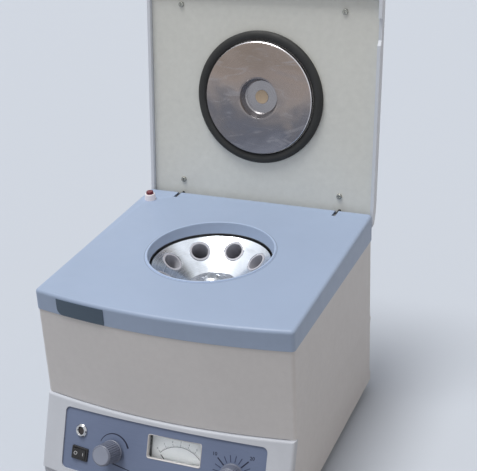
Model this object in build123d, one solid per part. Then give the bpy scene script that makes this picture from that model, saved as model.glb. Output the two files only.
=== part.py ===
from build123d import *
import math
import os

# Bench centrifuge with a conical eight-place angle rotor, a sloping control console and a
# rear-hinged lid. Millimetres and degrees. +Z is up, the front faces -Y, and the lid is drawn in
# its open position. The parts are drawn about the middle of the top cover at bench height, and
# are written with the origin under the middle of the whole machine.

# ---------------------------------------------------------------- driving dimensions
# Outer form
cover_width = 300.0
cover_depth = 281.0
front_bow = 14.4
cover_front_height = 235.5
cover_rise = 9.4
skirt_height = 23.5
cover_wall = 2.8
cover_skin = 2.5
cover_edge_radius = 4.0
cover_corner_radius = 5.0
case_inset = 0.8
case_wall = 2.5
tongue_height = 6.0
tongue_wall = 1.6
foot_height = 12.0
waist_height = 104.8
console_slope = 21.0
console_step = 2.6
console_edge_radius = 3.2
waist_groove_depth = 1.0
waist_groove_height = 1.3
console_wall = 3.0
console_return = 9.0
plinth_height = 12.5
plinth_setback = 2.0
running_gap = 0.3
fit_gap = 0.05
middle_shift = 4.27

# Opening, collar and seal
rotor_offset = -3.9
opening_radius = 73.2
collar_bottom_radius = 70.8
collar_wall = 2.6
collar_height = 229.9
lip_rise = 1.15
lip_edge_radius = 1.0
seal_height = 2.9
seal_lip = 0.5
seal_depth = 5.2

# Chamber guard
guard_rear_gap = 7.1
guard_wall = 1.5
guard_floor_height = 114.5
guard_ring_height = 228.0
guard_ring_thickness = 1.2

# Rotor
tube_places = 8
first_tube_angle = 174.3
tube_angle = 38.0
mouth_radius = 53.6
mouth_height = 215.9
rotor_floor_height = 197.0
rotor_rim_gap = 1.0
rotor_rim_land = 1.0
rotor_rim_depth = 8.0
rotor_rim_edge = 0.8
rotor_wall = 6.0
hub_radius = 15.0
hub_bottom = 168.0
spot_face_radius = 13.2
spot_face_depth = 0.6
sleeve_bore_radius = 10.0
sleeve_wall = 1.2
sleeve_sweep_gap = 11.9
sleeve_flange_radius = 12.4
sleeve_flange = 1.2
sleeve_bottom = 2.0
shaft_radius = 5.0
shaft_collar_radius = 9.0
shaft_collar_height = 8.0
hub_disc_radius = 27.5
hub_disc_thickness = 2.5
hub_disc_scallops = 8
rotor_nut_flats = 17.0
rotor_nut_height = 8.5
nut_thread_cover = 1.6

# Motor
motor_radius = 43.0
motor_wall = 1.6
motor_top = 109.0
motor_length = 80.0
motor_cap = 5.0
stator_thickness = 11.0
stator_length = 52.0
air_gap = 1.0
armature_slots = 12
slot_depth = 4.0
slot_width = 3.0
bearing_radius = 13.0
bearing_height = 8.0
mount_radius = 7.0
mount_circle = 33.0
motor_plate_width = 236.0
motor_plate_depth = 190.0
motor_plate_thickness = 2.5
post_radius = 6.0
bolt_radius = 2.5

# Lid
lid_front_setback = 8.6
lid_thickness = 15.0
lid_rim = 4.0
lid_skin = 2.5
lid_corner_radius = 7.0
lid_edge_radius = 3.0
lid_rear_overhang = 3.1
lid_rim_gap = 2.6
lid_lean = 6.8
lid_roll = 33.0
lid_end_height = 3.0
lid_recess = 5.5
panel_thickness = 1.2
panel_corner_radius = 4.0
lid_centre_from_rear = 147.6
gasket_outer_radius = 81.3
gasket_inner_radius = 70.3
gasket_height = 6.7
disc_radius = 69.0
disc_height = 8.5
disc_sheet = 1.0
disc_dish = 2.5
cup_radius = 24.5
cup_floor_radius = 20.0
cup_depth = 14.0
sight_plug_radius = 8.5
sight_bore_radius = 6.0
lid_screw_spacing = 210.0
lid_screw_rear = 33.3
lid_screw_front = 255.6
lid_screw_hole = 1.7
lid_boss_radius = 4.2
lid_boss_bore = 1.55
notch_start = 219.0
notch_length = 31.0
notch_depth = 4.0
notch_ramp = 6.0

# Lid hinges and interlock
hinge_spacing = 212.0
hinge_from_rear = 7.5
hinge_drop = 6.8
hinge_pin_radius = 2.0
arm_thickness = 2.5
arm_width = 11.0
arm_foot_thickness = 1.5
arm_foot_width = 14.0
slot_gap = 0.6
slot_side_gap = 1.1
slot_front = 17.5
bracket_thickness = 2.0
bracket_ear_radius = 3.7
bracket_width = 18.0
bracket_drop = 24.0
interlock_from_side = 16.0
interlock_from_rear = 32.0
interlock_base_radius = 7.4
interlock_radius = 6.2
interlock_height = 7.6
interlock_edge = 0.8
interlock_shank_radius = 5.6
interlock_shank = 13.0
plunger_radius = 4.6
plunger_rise = 3.4
plunger_travel = 3.2
plunger_gap = 0.1

# Control panel and what it carries: x across, s down the slope from the waist
panel_width = 243.0
panel_top = 5.0
panel_height = 70.5
panel_radius = 6.0
pocket_depth = 2.6
overlay_thickness = 1.0
pocket_backing = 2.4
indicator_x = -98.5
indicator_s = 31.0
indicator_radius = 7.4
indicator_hole = 5.0
indicator_rise = 2.8
indicator_barrel = 8.0
indicator_nut_radius = 8.4
indicator_nut_height = 3.0
lens_bore = 4.0
lens_rise = 1.0
rocker_x = -98.0
rocker_s = 57.0
rocker_frame_width = 21.5
rocker_frame_height = 15.0
rocker_frame_rise = 2.0
rocker_width = 16.8
rocker_height = 10.6
rocker_tilt = 8.0
rocker_depth = 5.0
switch_depth = 18.0
tab_pitch = 6.0
tab_width = 6.3
tab_length = 8.0
speed_x = -54.5
timer_x = 85.4
knob_s = 43.0
knob_flange_radius = 12.9
knob_flange = 1.4
knob_flange_step = 0.6
knob_base_radius = 12.3
knob_top_radius = 11.7
speed_knob_lift = 3.5
speed_knob_height = 22.5
timer_knob_height = 15.5
knob_flutes = 30
knob_flute_radius = 0.55
knob_cap_radius = 9.8
knob_cap_depth = 1.0
knob_cap_rise = 0.3
knob_edge = 1.2
knob_crown = 3.0
spindle_radius = 3.0
spindle_end_gap = 0.6
bushing_radius = 4.6
panel_nut_radius = 6.6
panel_nut_height = 2.0
panel_nut_lift = 0.1
thread_proud = 0.6
pot_gap = 0.6
pot_radius = 12.0
pot_depth = 16.0
pot_floor = 3.0
pot_lead_pitch = 5.0
pot_lead_width = 1.5
pot_lead_length = 7.0
pot_lead_thickness = 0.8
timer_width = 44.0
timer_height = 52.0
timer_depth = 34.0
timer_corner = 4.0
timer_floor = 6.0
meter_x = 20.8
meter_s = 28.0
window_x = 18.2
window_width = 63.6
window_height = 27.0
window_radius = 2.5
meter_case_width = 72.0
meter_case_height = 60.0
meter_case_depth = 32.0
meter_case_wall = 2.5
meter_case_top = 11.0
dial_depth = 12.5
dial_thickness = 0.8
glass_thickness = 1.5
needle_pivot_s = 59.1
needle_length = 30.5
needle_sweep = 90.0
nameplate_left = 30.0
nameplate_width = 61.0
nameplate_thickness = 0.8
nameplate_radius = 8.0

# Feet, base pan, rear wall and inside parts
foot_x = 122.0
foot_front = -150.0
foot_rear = 118.0
foot_radius = 11.0
pan_thickness = 1.5
pan_flange = 12.0
pan_slots = 3
pan_slot_length = 60.0
pan_slot_width = 4.0
pan_slot_pitch = 10.0
boss_radius = 6.0
boss_height = 18.0
inlet_x = -95.0
inlet_z = 45.0
inlet_flange_width = 50.0
inlet_flange_height = 24.0
inlet_flange = 2.5
inlet_cavity_width = 26.0
inlet_cavity_height = 17.5
inlet_cavity_depth = 16.0
inlet_body_depth = 22.0
inlet_screw_offset = 20.0
inlet_screw_hole = 1.7
fuse_x = -52.0
fuse_radius = 7.0
fuse_depth = 26.0
fuse_flange = 2.0
fuse_rise = 9.0
vent_columns = 2
vent_rows = 9
vent_length = 62.0
vent_width = 3.2
vent_pitch = 8.0
vent_top = 188.0
vent_x = 62.0
rear_panel_thickness = 2.0
rear_panel_top = 203.5
rear_flange = 10.0
rear_screw_radius = 3.2
rear_screw_head = 2.0
rear_screw_shank = 1.5
rear_screw_length = 7.0
core_side_gap = 10.0
core_rear_gap = 17.7
core_width = 64.0
core_depth = 54.0
core_height = 46.0
winding_width = 40.0
winding_depth = 74.0
winding_height = 30.0
board_width = 78.0
board_depth = 58.0
board_thickness = 1.6
board_height = 10.0
board_side_gap = 9.0
board_rear_gap = 22.7
board_hole_inset = 6.0
board_hole_radius = 1.7
standoff_radius = 3.5
sink_width = 24.0
sink_depth = 20.0
sink_height = 26.0
capacitor_radius = 7.0
capacitor_height = 24.0
relay_width = 26.0
relay_depth = 16.0
relay_height = 14.0
terminal_width = 24.0
terminal_depth = 12.0
terminal_height = 10.0
plate_corner_radius = 8.0
plate_hole_inset = 12.0
bolt_tip_depth = 10.0
bolt_post_depth = 12.0

# ---------------------------------------------------------------- derived values
half_width = cover_width / 2
front_y = -cover_depth / 2
rear_y = cover_depth / 2
bow_radius = (half_width ** 2 + front_bow ** 2) / (2 * front_bow)
bow_centre_y = front_y - front_bow + bow_radius
deck_tilt = math.degrees(math.atan2(cover_rise, cover_depth))
deck_normal = (0, -math.sin(math.radians(deck_tilt)), math.cos(math.radians(deck_tilt)))
skirt_bottom = cover_front_height - skirt_height
slope_sin = math.sin(math.radians(console_slope))
slope_cos = math.cos(math.radians(console_slope))
plinth_top = foot_height + plinth_height
console_drop = waist_height - plinth_top
console_run = console_drop * slope_sin / slope_cos
console_face_length = console_drop / slope_cos
console_direction = Vector(0, -slope_sin, -slope_cos)
case_rear = rear_y - case_inset
case_inner_side = half_width - case_inset - case_wall
panel_inner_y = case_rear - rear_panel_thickness
pan_top = foot_height + pan_thickness
lid_swing = 90 + lid_lean + deck_tilt
sleeve_outer_radius = sleeve_bore_radius + sleeve_wall
shaft_top = rotor_floor_height + hub_disc_thickness + rotor_nut_height - nut_thread_cover
motor_bottom = motor_top - motor_length
guard_outer_radius = panel_inner_y - rear_panel_thickness - guard_rear_gap - rotor_offset
guard_radius = guard_outer_radius - guard_wall
lid_length = cover_depth + lid_rear_overhang - lid_front_setback
interlock_x = interlock_from_side - half_width
interlock_y = rear_y - interlock_from_rear
seal_bore_radius = collar_bottom_radius - seal_lip
rotor_rim_radius = seal_bore_radius - rotor_rim_gap
BIG = 4 * cover_width

os.makedirs("parts", exist_ok=True)


# ---------------------------------------------------------------- helpers
def save(shape, node):
    """Write a node, moved so that the origin lies under the middle of the machine, lid open."""
    export_step(Part() + Pos(0, middle_shift, 0) * shape, f"parts/{node}.step")


def deck_height(y):
    """Height of the cover's top surface at depth y."""
    return cover_front_height + cover_rise * (y - front_y) / cover_depth


def deck_frame(x, y, lift=0.0):
    """Plane on the cover's top surface, with its normal pointing up out of the deck."""
    base = Plane((x, y, deck_height(y)), x_dir=(1, 0, 0), z_dir=deck_normal)
    return base.offset(lift)


def below_deck(drop):
    """All space below the cover's top surface lowered by drop."""
    return deck_frame(0, 0, -drop) * Box(BIG, BIG, BIG, align=(Align.CENTER, Align.CENTER, Align.MAX))


def plan_face(inset, corner=0.0, forward=0.0, back=0.0):
    """Plan outline with a bowed front, set in from the cover's outline by inset.

    forward moves the bowed front towards -Y and back moves the rear edge towards -Y.
    """
    side = half_width - inset
    rear = rear_y - inset - back
    radius = bow_radius - inset
    centre = bow_centre_y - forward
    corner_y = centre - math.sqrt(radius ** 2 - side ** 2)
    straight = Polyline((side, corner_y), (side, rear), (-side, rear), (-side, corner_y))
    bow = ThreePointArc((-side, corner_y), (0, centre - radius), (side, corner_y))
    face = make_face(straight.edges() + bow.edges())
    return fillet(face.vertices(), corner) if corner > 0 else face


def upright(face, bottom, top):
    """A face drawn in plan, raised between two heights."""
    return extrude(Pos(0, 0, bottom) * face, top - bottom, dir=(0, 0, 1))


def ring(outer, inner, bottom, top, x=0.0, y=0.0):
    """A plain ring or tube standing at x, y."""
    return Pos(x, y, bottom) * extrude(Circle(outer) - Circle(inner), top - bottom)


def disc(radius, bottom, top, x=0.0, y=0.0):
    """A plain cylinder standing at x, y."""
    return Pos(x, y, bottom) * extrude(Circle(radius), top - bottom)


def block(x0, x1, y0, y1, z0, z1):
    """A box between two corners."""
    return Pos((x0 + x1) / 2, (y0 + y1) / 2, (z0 + z1) / 2) * Box(x1 - x0, y1 - y0, z1 - z0)


def turned(points):
    """A solid of revolution about Z from (radius, height) points."""
    return revolve(Plane.XZ * make_face(Polyline(*points, points[0]).edges()), Axis.Z)


def pan_head(radius, height, shank_radius, shank_length):
    """A pan-head screw along -Z with a cross recess, its seat at z = 0."""
    head = fillet(disc(radius, 0, height).edges().sort_by(Axis.Z)[-1], 0.45 * height)
    recess = radius * 0.55
    cross = Box(2 * recess, 0.22 * radius, height) + Box(0.22 * radius, 2 * recess, height)
    return head - Pos(0, 0, height) * cross + disc(shank_radius, -shank_length, 0)


def at_corners(half_x, y_values):
    """The four points at plus and minus half_x and two depths."""
    return [(sign * half_x, y) for sign in (-1, 1) for y in y_values]


# ---------------------------------------------------------------- console geometry
def console_body(inset, corner=0.0):
    """The console's sloping prism from the waist to the plinth, set in by inset."""
    forward = console_step - inset * (1 / slope_cos - 1)
    face = plan_face(case_inset + inset, corner, forward=forward)
    return extrude(Pos(0, 0, waist_height) * face, console_face_length, dir=console_direction)


def console_plinth(inset, corner=0.0):
    """The upright plinth under the sloping face, set in by inset."""
    face = plan_face(case_inset + inset, corner, forward=console_step + console_run - plinth_setback)
    return upright(face, foot_height, plinth_top)


def console_frame(x, s, lift=0.0):
    """Plane on the control panel's face at x across and s down the slope, facing out."""
    radius = bow_radius - case_inset
    bow_angle = math.asin(x / radius)
    outer_y = bow_centre_y - console_step - math.sqrt(radius ** 2 - x ** 2)
    origin = Vector(x, outer_y - s * slope_sin, waist_height - s * slope_cos)
    across = Vector(math.cos(bow_angle), math.sin(bow_angle), 0)
    outward = across.cross(Vector(0, slope_sin, slope_cos))
    plane = Plane(origin, x_dir=across, z_dir=outward)
    return plane.offset(lift - (pocket_depth - overlay_thickness))


def console_patch(width, height, top, radius):
    """A rounded rectangle on the sloping face, pushed far through it in both directions."""
    middle = console_frame(0, top + height / 2)
    return extrude(middle * RectangleRounded(width, height, radius), 40, both=True)


def front_zone(depth_behind):
    """The space that belongs to the console: everything in front of a plane along the slope."""
    corner_y = front_y - console_step + depth_behind
    top_face = Pos(0, corner_y - cover_depth / 2, waist_height) * Rectangle(BIG, cover_depth)
    slope = extrude(top_face, console_face_length, dir=console_direction)
    plinth_y = corner_y - console_run
    return slope + block(-BIG, BIG, plinth_y - cover_depth, plinth_y, foot_height, plinth_top)


# ---------------------------------------------------------------- top cover
def make_top_cover():
    outer = upright(plan_face(0, cover_corner_radius), skirt_bottom, BIG) & below_deck(0)
    outer = fillet(outer.faces().sort_by(Axis.Z)[-1].edges(), cover_edge_radius)
    inner_face = plan_face(cover_wall, cover_corner_radius - cover_wall)
    inner = upright(inner_face, skirt_bottom, BIG) & below_deck(cover_skin)
    cover = outer - inner
    lip_top = deck_height(rotor_offset + opening_radius) + 2 * lip_rise
    depth = lip_top - collar_height
    axis = Pos(0, rotor_offset, collar_height + depth / 2)
    tube = axis * Cone(collar_bottom_radius + collar_wall, opening_radius + collar_wall, depth)
    collar = tube & below_deck(-lip_rise)
    collar -= axis * Cone(collar_bottom_radius, opening_radius, depth + 2 * fit_gap)
    collar = fillet(collar.faces().sort_by(Axis.Z)[-1].edges(), lip_edge_radius)
    cover -= disc(opening_radius, collar_height, lip_top, 0, rotor_offset)
    cover += collar
    cover -= disc(collar_bottom_radius + collar_wall + 1, collar_height - 5, collar_height, 0, rotor_offset)
    slot_half = arm_thickness / 2 + slot_side_gap
    slot_floor = hinge_height - arm_width / 2 - bracket_thickness - slot_gap
    for side in (-1, 1):
        x = side * hinge_spacing / 2
        cover -= block(x - slot_half, x + slot_half, rear_y - slot_front, rear_y + 1, slot_floor, BIG)
    cover -= deck_frame(interlock_x, interlock_y) * Cylinder(interlock_shank_radius + fit_gap, 20)
    return cover


# ---------------------------------------------------------------- hinge and lid frames
hinge_y = rear_y - hinge_from_rear
hinge_height = deck_height(hinge_y) - hinge_drop
lid_rear_y = rear_y + lid_rear_overhang
closed_lid = deck_frame(0, lid_rear_y, lid_rim_gap)
hinge_point = Vector(0, hinge_y, hinge_height)
open_swing = Pos(*hinge_point) * Rot(-lid_swing, 0, 0) * Pos(*(-hinge_point))
lid_place = open_swing * closed_lid.location
hinge_in_lid = closed_lid.to_local_coords(hinge_point)


# ---------------------------------------------------------------- body shell
def make_body_shell():
    upper = upright(plan_face(case_inset, cover_corner_radius), waist_height, skirt_bottom)
    inner_face = plan_face(case_inset + case_wall, cover_corner_radius - case_wall)
    shell = upper - upright(inner_face, waist_height, skirt_bottom)
    tongue_outer = cover_wall + running_gap
    tongue_bottom = skirt_bottom - tongue_height
    tongue_face = plan_face(tongue_outer, cover_corner_radius - cover_wall)
    tongue_core = plan_face(tongue_outer + tongue_wall, cover_corner_radius - cover_wall)
    tongue = upright(tongue_face, tongue_bottom, skirt_bottom + tongue_height)
    tongue -= upright(tongue_core, tongue_bottom, skirt_bottom + tongue_height)
    shell += tongue
    rear_width = 2 * (half_width - case_inset)
    lower_face = Pos(0, 0, 0) * Rectangle(rear_width, 2 * case_rear)
    lower_face = fillet(lower_face.vertices(), cover_corner_radius - case_inset)
    core_face = Rectangle(rear_width - 2 * case_wall, 2 * (case_rear - case_wall))
    lower = upright(lower_face, foot_height, waist_height)
    sides = console_body(0) + console_plinth(0) + lower
    core = console_body(case_wall) + console_plinth(case_wall)
    core += upright(core_face, foot_height, waist_height)
    sides = sides - core - front_zone(console_return)
    shell += sides
    groove_face = plan_face(case_inset) - plan_face(case_inset + waist_groove_depth)
    groove = upright(groove_face, waist_height, waist_height + waist_groove_height)
    shell -= groove & block(-BIG, BIG, -BIG, front_y, 0, BIG)
    for x, y in at_corners(foot_x, (foot_front, foot_rear)):
        wall_x = math.copysign(half_width - case_inset - case_wall / 2, x)
        shell += disc(boss_radius, pan_top, pan_top + boss_height, x, y)
        low, high = sorted((x, wall_x))
        shell += block(low, high, y - case_wall / 2, y + case_wall / 2,
                       pan_top + pan_flange, pan_top + boss_height)
        shell -= disc(bolt_radius - running_gap, pan_top - 1, pan_top + boss_height - 3, x, y)
    side = case_inner_side
    shell -= block(-side, side, panel_inner_y - rear_panel_thickness, rear_y, 0, rear_panel_top)
    flange_y = panel_inner_y - rear_panel_thickness
    flange_low = foot_height + pan_flange + running_gap
    shell += block(-side, side, flange_y, panel_inner_y, rear_panel_top - rear_flange, rear_panel_top + 3)
    for x0, x1 in ((-side, rear_flange - side), (side - rear_flange, side)):
        shell += block(x0, x1, flange_y, panel_inner_y, flange_low, rear_panel_top)
    return shell - rear_screw_holes()


def rear_screw_points():
    side = case_inner_side - rear_flange / 2
    middle = (foot_height + rear_panel_top) / 2
    low = foot_height + pan_flange / 2
    one_side = [(side, rear_panel_top - rear_flange / 2), (side, middle), (side - 2 * rear_flange, low)]
    return [(sign * x, z) for sign in (-1, 1) for x, z in one_side]


def rear_screw_holes():
    holes = Part()
    for x, z in rear_screw_points():
        holes += rear_piece(x, z, Cylinder(rear_screw_shank + fit_gap, 4 * rear_flange))
    return holes


def make_rear_panel():
    """A flat plate let in flush between the side walls, with every rear opening in it."""
    side = case_inner_side - running_gap
    low = foot_height + running_gap
    plate = block(-side, side, panel_inner_y, case_rear, low, rear_panel_top - running_gap)
    return plate - rear_cutouts() - rear_screw_holes()


def rear_cutouts():
    """Vent slots and the holes for the mains inlet and the fuse holder."""
    depth = 4 * case_wall
    cuts = Part()
    for column in range(vent_columns):
        x = vent_x * (2 * column - (vent_columns - 1))
        for row in range(vent_rows):
            z = vent_top - row * vent_pitch
            slot = Plane.XZ * SlotOverall(vent_length, vent_width)
            cuts += Pos(x, case_rear + depth / 2, z) * extrude(slot, depth, both=True)
    half_w = inlet_cavity_width / 2 + 2.5
    half_h = inlet_cavity_height / 2 + 2.5
    cuts += block(inlet_x - half_w, inlet_x + half_w, case_rear - depth, case_rear + 1,
                  inlet_z - half_h, inlet_z + half_h)
    for x, radius in ((fuse_x, fuse_radius - 1.0), (inlet_x - inlet_screw_offset, inlet_screw_hole),
                      (inlet_x + inlet_screw_offset, inlet_screw_hole)):
        hole = extrude(Plane.XZ * Circle(radius), depth, both=True)
        cuts += Pos(x, case_rear, inlet_z) * hole
    return cuts


# ---------------------------------------------------------------- console
def console_outside():
    """The console's outer form, its top front edge rounded over."""
    sharp = console_body(0)
    front_edge = sharp.faces().sort_by(Axis.Z)[-1].edges().sort_by(Axis.Y)[0]
    return fillet(front_edge, console_edge_radius) & console_body(0, cover_corner_radius - case_inset)


def make_console():
    outside = console_outside()
    wall = outside - console_body(console_wall)
    plinth = console_plinth(0, cover_corner_radius - case_inset) - console_plinth(console_wall)
    bezel = (wall + plinth) & front_zone(console_return)
    ledge_face = plan_face(case_inset, cover_corner_radius - case_inset, forward=console_step)
    ledge = upright(ledge_face, waist_height - console_wall, waist_height)
    bezel += ledge & outside & front_zone(console_return)
    shelf_face = plan_face(case_inset + case_wall, forward=console_step + console_run - plinth_setback)
    shelf = upright(shelf_face, plinth_top - console_wall, plinth_top)
    bezel += shelf & console_body_below()
    margin = 2 * console_wall
    pad = console_body(0) - console_body(pocket_depth + pocket_backing)
    pad &= console_patch(panel_width + margin, panel_height + margin, panel_top - margin / 2, panel_radius)
    bezel += pad & outside
    pocket = console_body(-console_wall) - console_body(pocket_depth)
    bezel -= pocket & console_patch(panel_width, panel_height, panel_top, panel_radius)
    return bezel - panel_holes()


def console_body_below():
    """A band under the sloping face's foot that joins it to the plinth."""
    low = plinth_top - console_wall
    edge = front_y - console_step - console_run
    return block(-BIG, BIG, edge - cover_depth, edge + console_return, low, plinth_top)


def panel_holes():
    """Openings through the control panel and the console behind it."""
    cuts = Part()
    for x, s, radius in (
        (indicator_x, indicator_s, indicator_hole),
        (speed_x, knob_s, bushing_radius + fit_gap),
        (timer_x, knob_s, bushing_radius + fit_gap),
    ):
        cuts += console_frame(x, s) * Cylinder(radius, 6 * pocket_depth)
    rocker_hole = RectangleRounded(rocker_frame_width - 2, rocker_frame_height - 2, 0.5)
    cuts += extrude(console_frame(rocker_x, rocker_s) * rocker_hole, 3 * pocket_depth, both=True)
    window = RectangleRounded(window_width, window_height, window_radius)
    cuts += extrude(console_frame(window_x, meter_s) * window, 3 * pocket_depth, both=True)
    return cuts


def make_control_panel():
    gap = fit_gap
    sheet = console_body(pocket_depth - overlay_thickness) - console_body(pocket_depth)
    sheet &= console_patch(panel_width - 2 * gap, panel_height - 2 * gap, panel_top + gap, panel_radius)
    return sheet - panel_holes()


def make_nameplate():
    """A blank plate bonded to the bowed front of the skirt, set off from the cover's left side."""
    outer = upright(plan_face(-nameplate_thickness), skirt_bottom, cover_front_height)
    outer -= upright(plan_face(-fit_gap), skirt_bottom, cover_front_height)
    top = cover_front_height - cover_edge_radius - 0.5
    height = top - skirt_bottom - 0.5
    middle = nameplate_left - half_width + nameplate_width / 2
    outline = Rectangle(nameplate_width, height)
    lower_left = outline.vertices().group_by(Axis.Y)[0].sort_by(Axis.X)[0]
    outline = fillet(lower_left, nameplate_radius)
    front = Plane.XZ.offset(-front_y) * Pos(middle, top - height / 2)
    tool = extrude(front * outline, -front_y, both=True)
    return outer & tool


# ---------------------------------------------------------------- seal and guard
def make_chamber_seal():
    inner = collar_bottom_radius - seal_lip
    outer = inner + seal_depth
    top = collar_height
    seal = ring(outer, inner, top - seal_height, top)
    seal = fillet(seal.edges().filter_by(GeomType.CIRCLE).sort_by(SortBy.RADIUS)[0:2], seal_lip)
    groove_radius = outer - 2.2
    low = guard_ring_height - fit_gap
    high = guard_ring_height + guard_ring_thickness + fit_gap
    seal -= ring(outer + 1, groove_radius, low, high)
    return Pos(0, rotor_offset, 0) * seal


def make_guard_ring():
    inner = collar_bottom_radius - seal_lip + seal_depth - 2.2 + fit_gap
    top = guard_ring_height + guard_ring_thickness
    plate = ring(guard_outer_radius, inner, guard_ring_height, top)
    return Pos(0, rotor_offset, 0) * plate


def make_chamber_guard():
    floor = guard_floor_height + guard_wall
    bowl = ring(guard_outer_radius, guard_radius, guard_floor_height, guard_ring_height)
    bowl += ring(guard_outer_radius, shaft_collar_radius + 5, guard_floor_height, floor)
    inner_corner = bowl.edges().filter_by(GeomType.CIRCLE).filter_by(
        lambda e: abs(e.radius - guard_radius) < fit_gap and abs(e.center().Z - floor) < fit_gap)
    return Pos(0, rotor_offset, 0) * fillet(inner_corner, 4 * guard_wall)


# ---------------------------------------------------------------- rotor
cone_rise = math.tan(math.radians(tube_angle))
tube_sin = math.sin(math.radians(tube_angle))
tube_cos = math.cos(math.radians(tube_angle))
rotor_rim_height = mouth_height + (rotor_rim_radius - rotor_rim_land - mouth_radius) * cone_rise
sleeve_reach = guard_radius - sleeve_sweep_gap - sleeve_outer_radius * tube_cos
sleeve_length = (sleeve_reach - mouth_radius) / tube_sin


def bowl_radius(z):
    """Radius of the rotor's inner cone at height z."""
    return mouth_radius + (z - mouth_height) / cone_rise


def tube_frame(place, sink=0.0):
    """Plane on a tube mouth, facing up and inwards along the tube, sunk down the tube."""
    angle = math.radians(first_tube_angle - place * 360 / tube_places)
    outward = Vector(math.cos(angle), math.sin(angle), 0)
    along = outward * -tube_sin + Vector(0, 0, tube_cos)
    centre = outward * mouth_radius + Vector(0, rotor_offset, mouth_height)
    around = Vector(0, 0, 1).cross(outward)
    return Plane(centre - along * sink, x_dir=around, z_dir=along)


def down_tube(place, radius, start, end):
    """A cylinder along a tube's axis from start to end below its mouth."""
    return extrude(tube_frame(place, end) * Circle(radius), end - start)


def cone_foot(least, low, lift=0.0, spread=0.0):
    """Where a cone wall ends at height low, going straight down once it narrows to the least radius."""
    radius = bowl_radius(low + lift) + spread
    if radius >= least:
        return [(radius, low)]
    turn = mouth_height + (least - spread - mouth_radius) * cone_rise - lift
    return [(least, turn), (least, low)]


def make_rotor_head():
    """A cast cone with a hub boss, a thick rim and a spot-faced hole for every tube."""
    drop_r = rotor_wall * tube_sin
    drop_z = rotor_wall * tube_cos
    under_floor = rotor_floor_height - rotor_wall
    rim_bottom = rotor_rim_height - rotor_rim_depth
    well_radius = hub_disc_radius + running_gap
    under_foot = cone_foot(well_radius + rotor_wall / 2, under_floor, drop_z, drop_r)
    under_rim = bowl_radius(rim_bottom + drop_z) + drop_r
    bore = shaft_radius + fit_gap
    profile = [
        (bore, hub_bottom),
        (hub_radius, hub_bottom),
        (hub_radius, under_floor),
        *reversed(under_foot),
        (under_rim, rim_bottom),
        (rotor_rim_radius, rim_bottom),
        (rotor_rim_radius, rotor_rim_height),
        (bowl_radius(rotor_rim_height), rotor_rim_height),
        *cone_foot(well_radius, rotor_floor_height),
        (bore, rotor_floor_height),
    ]
    head = Pos(0, rotor_offset, 0) * turned(profile)
    rim_edge = head.edges().filter_by(GeomType.CIRCLE).filter_by(
        lambda e: abs(e.center().Z - rotor_rim_height) < fit_gap and e.radius > rotor_rim_radius - fit_gap)
    head = fillet(rim_edge, rotor_rim_edge)
    for place in range(tube_places):
        head -= down_tube(place, spot_face_radius, -rotor_wall, spot_face_depth)
        head -= down_tube(place, sleeve_outer_radius + fit_gap, 0, 3 * rotor_wall)
    return head


def make_tube_sleeves():
    sleeves = []
    for place in range(tube_places):
        flange_top = spot_face_depth - sleeve_flange
        body = down_tube(place, sleeve_outer_radius, flange_top, sleeve_length)
        low_edge = body.edges().filter_by(GeomType.CIRCLE).sort_by(Axis.Z)[0]
        body = fillet(low_edge, 2 * sleeve_wall)
        body += down_tube(place, sleeve_flange_radius, flange_top, spot_face_depth)
        body -= down_tube(place, sleeve_bore_radius, flange_top - 1, sleeve_length - sleeve_bottom)
        sleeves.append(body)
    return Compound(children=sleeves)


def make_motor_shaft():
    shaft = disc(shaft_radius, motor_bottom - 3, shaft_top, 0, rotor_offset)
    collar = disc(shaft_collar_radius, hub_bottom - shaft_collar_height, hub_bottom, 0, rotor_offset)
    top_edge = shaft.edges().filter_by(GeomType.CIRCLE).sort_by(Axis.Z)[-1]
    return chamfer(top_edge, 0.8) + collar


def make_hub_disc():
    top = rotor_floor_height + hub_disc_thickness
    plate = ring(hub_disc_radius, shaft_radius + fit_gap, rotor_floor_height, top, 0, rotor_offset)
    for scallop in range(hub_disc_scallops):
        turn = 2 * math.pi * (scallop + 0.5) / hub_disc_scallops
        x = 0.62 * hub_disc_radius * math.cos(turn)
        y = rotor_offset + 0.62 * hub_disc_radius * math.sin(turn)
        plate -= disc(0.14 * hub_disc_radius, top - hub_disc_thickness / 2, top + 1, x, y)
    return plate


def make_rotor_nut():
    bottom = rotor_floor_height + hub_disc_thickness
    across_corners = rotor_nut_flats / math.cos(math.pi / 6)
    hexagon = extrude(RegularPolygon(across_corners / 2, 6), rotor_nut_height)
    dome = turned([(0, 0), (across_corners / 2, 0), (across_corners / 2, 0.72 * rotor_nut_height),
                   (0.36 * rotor_nut_flats, rotor_nut_height), (0, rotor_nut_height)])
    nut = (hexagon & dome) - disc(shaft_radius + fit_gap, -1, rotor_nut_height - nut_thread_cover + fit_gap)
    return Pos(0, rotor_offset, bottom) * nut


# ---------------------------------------------------------------- motor
stator_outer = motor_radius - motor_wall - fit_gap
stator_inner = stator_outer - stator_thickness
motor_middle = (motor_top + motor_bottom) / 2


def motor_piece(shape):
    return Pos(0, rotor_offset, 0) * shape


def make_motor_cap(low, high, seat_low):
    """An end cap with a bearing seat; seat_low tells which side the bearing enters."""
    cap = disc(motor_radius, low, high)
    seat_depth = bearing_height - (high - low) / 2
    if seat_low:
        cap += ring(bearing_radius + 4, bearing_radius, low - seat_depth, low)
        cap -= disc(bearing_radius, low - seat_depth, low + (high - low) / 2)
    else:
        cap += ring(bearing_radius + 4, bearing_radius, high, high + seat_depth)
        cap -= disc(bearing_radius, low + (high - low) / 2, high + seat_depth)
    return motor_piece(cap - disc(shaft_radius + 1, low - 1, high + 1))


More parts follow.
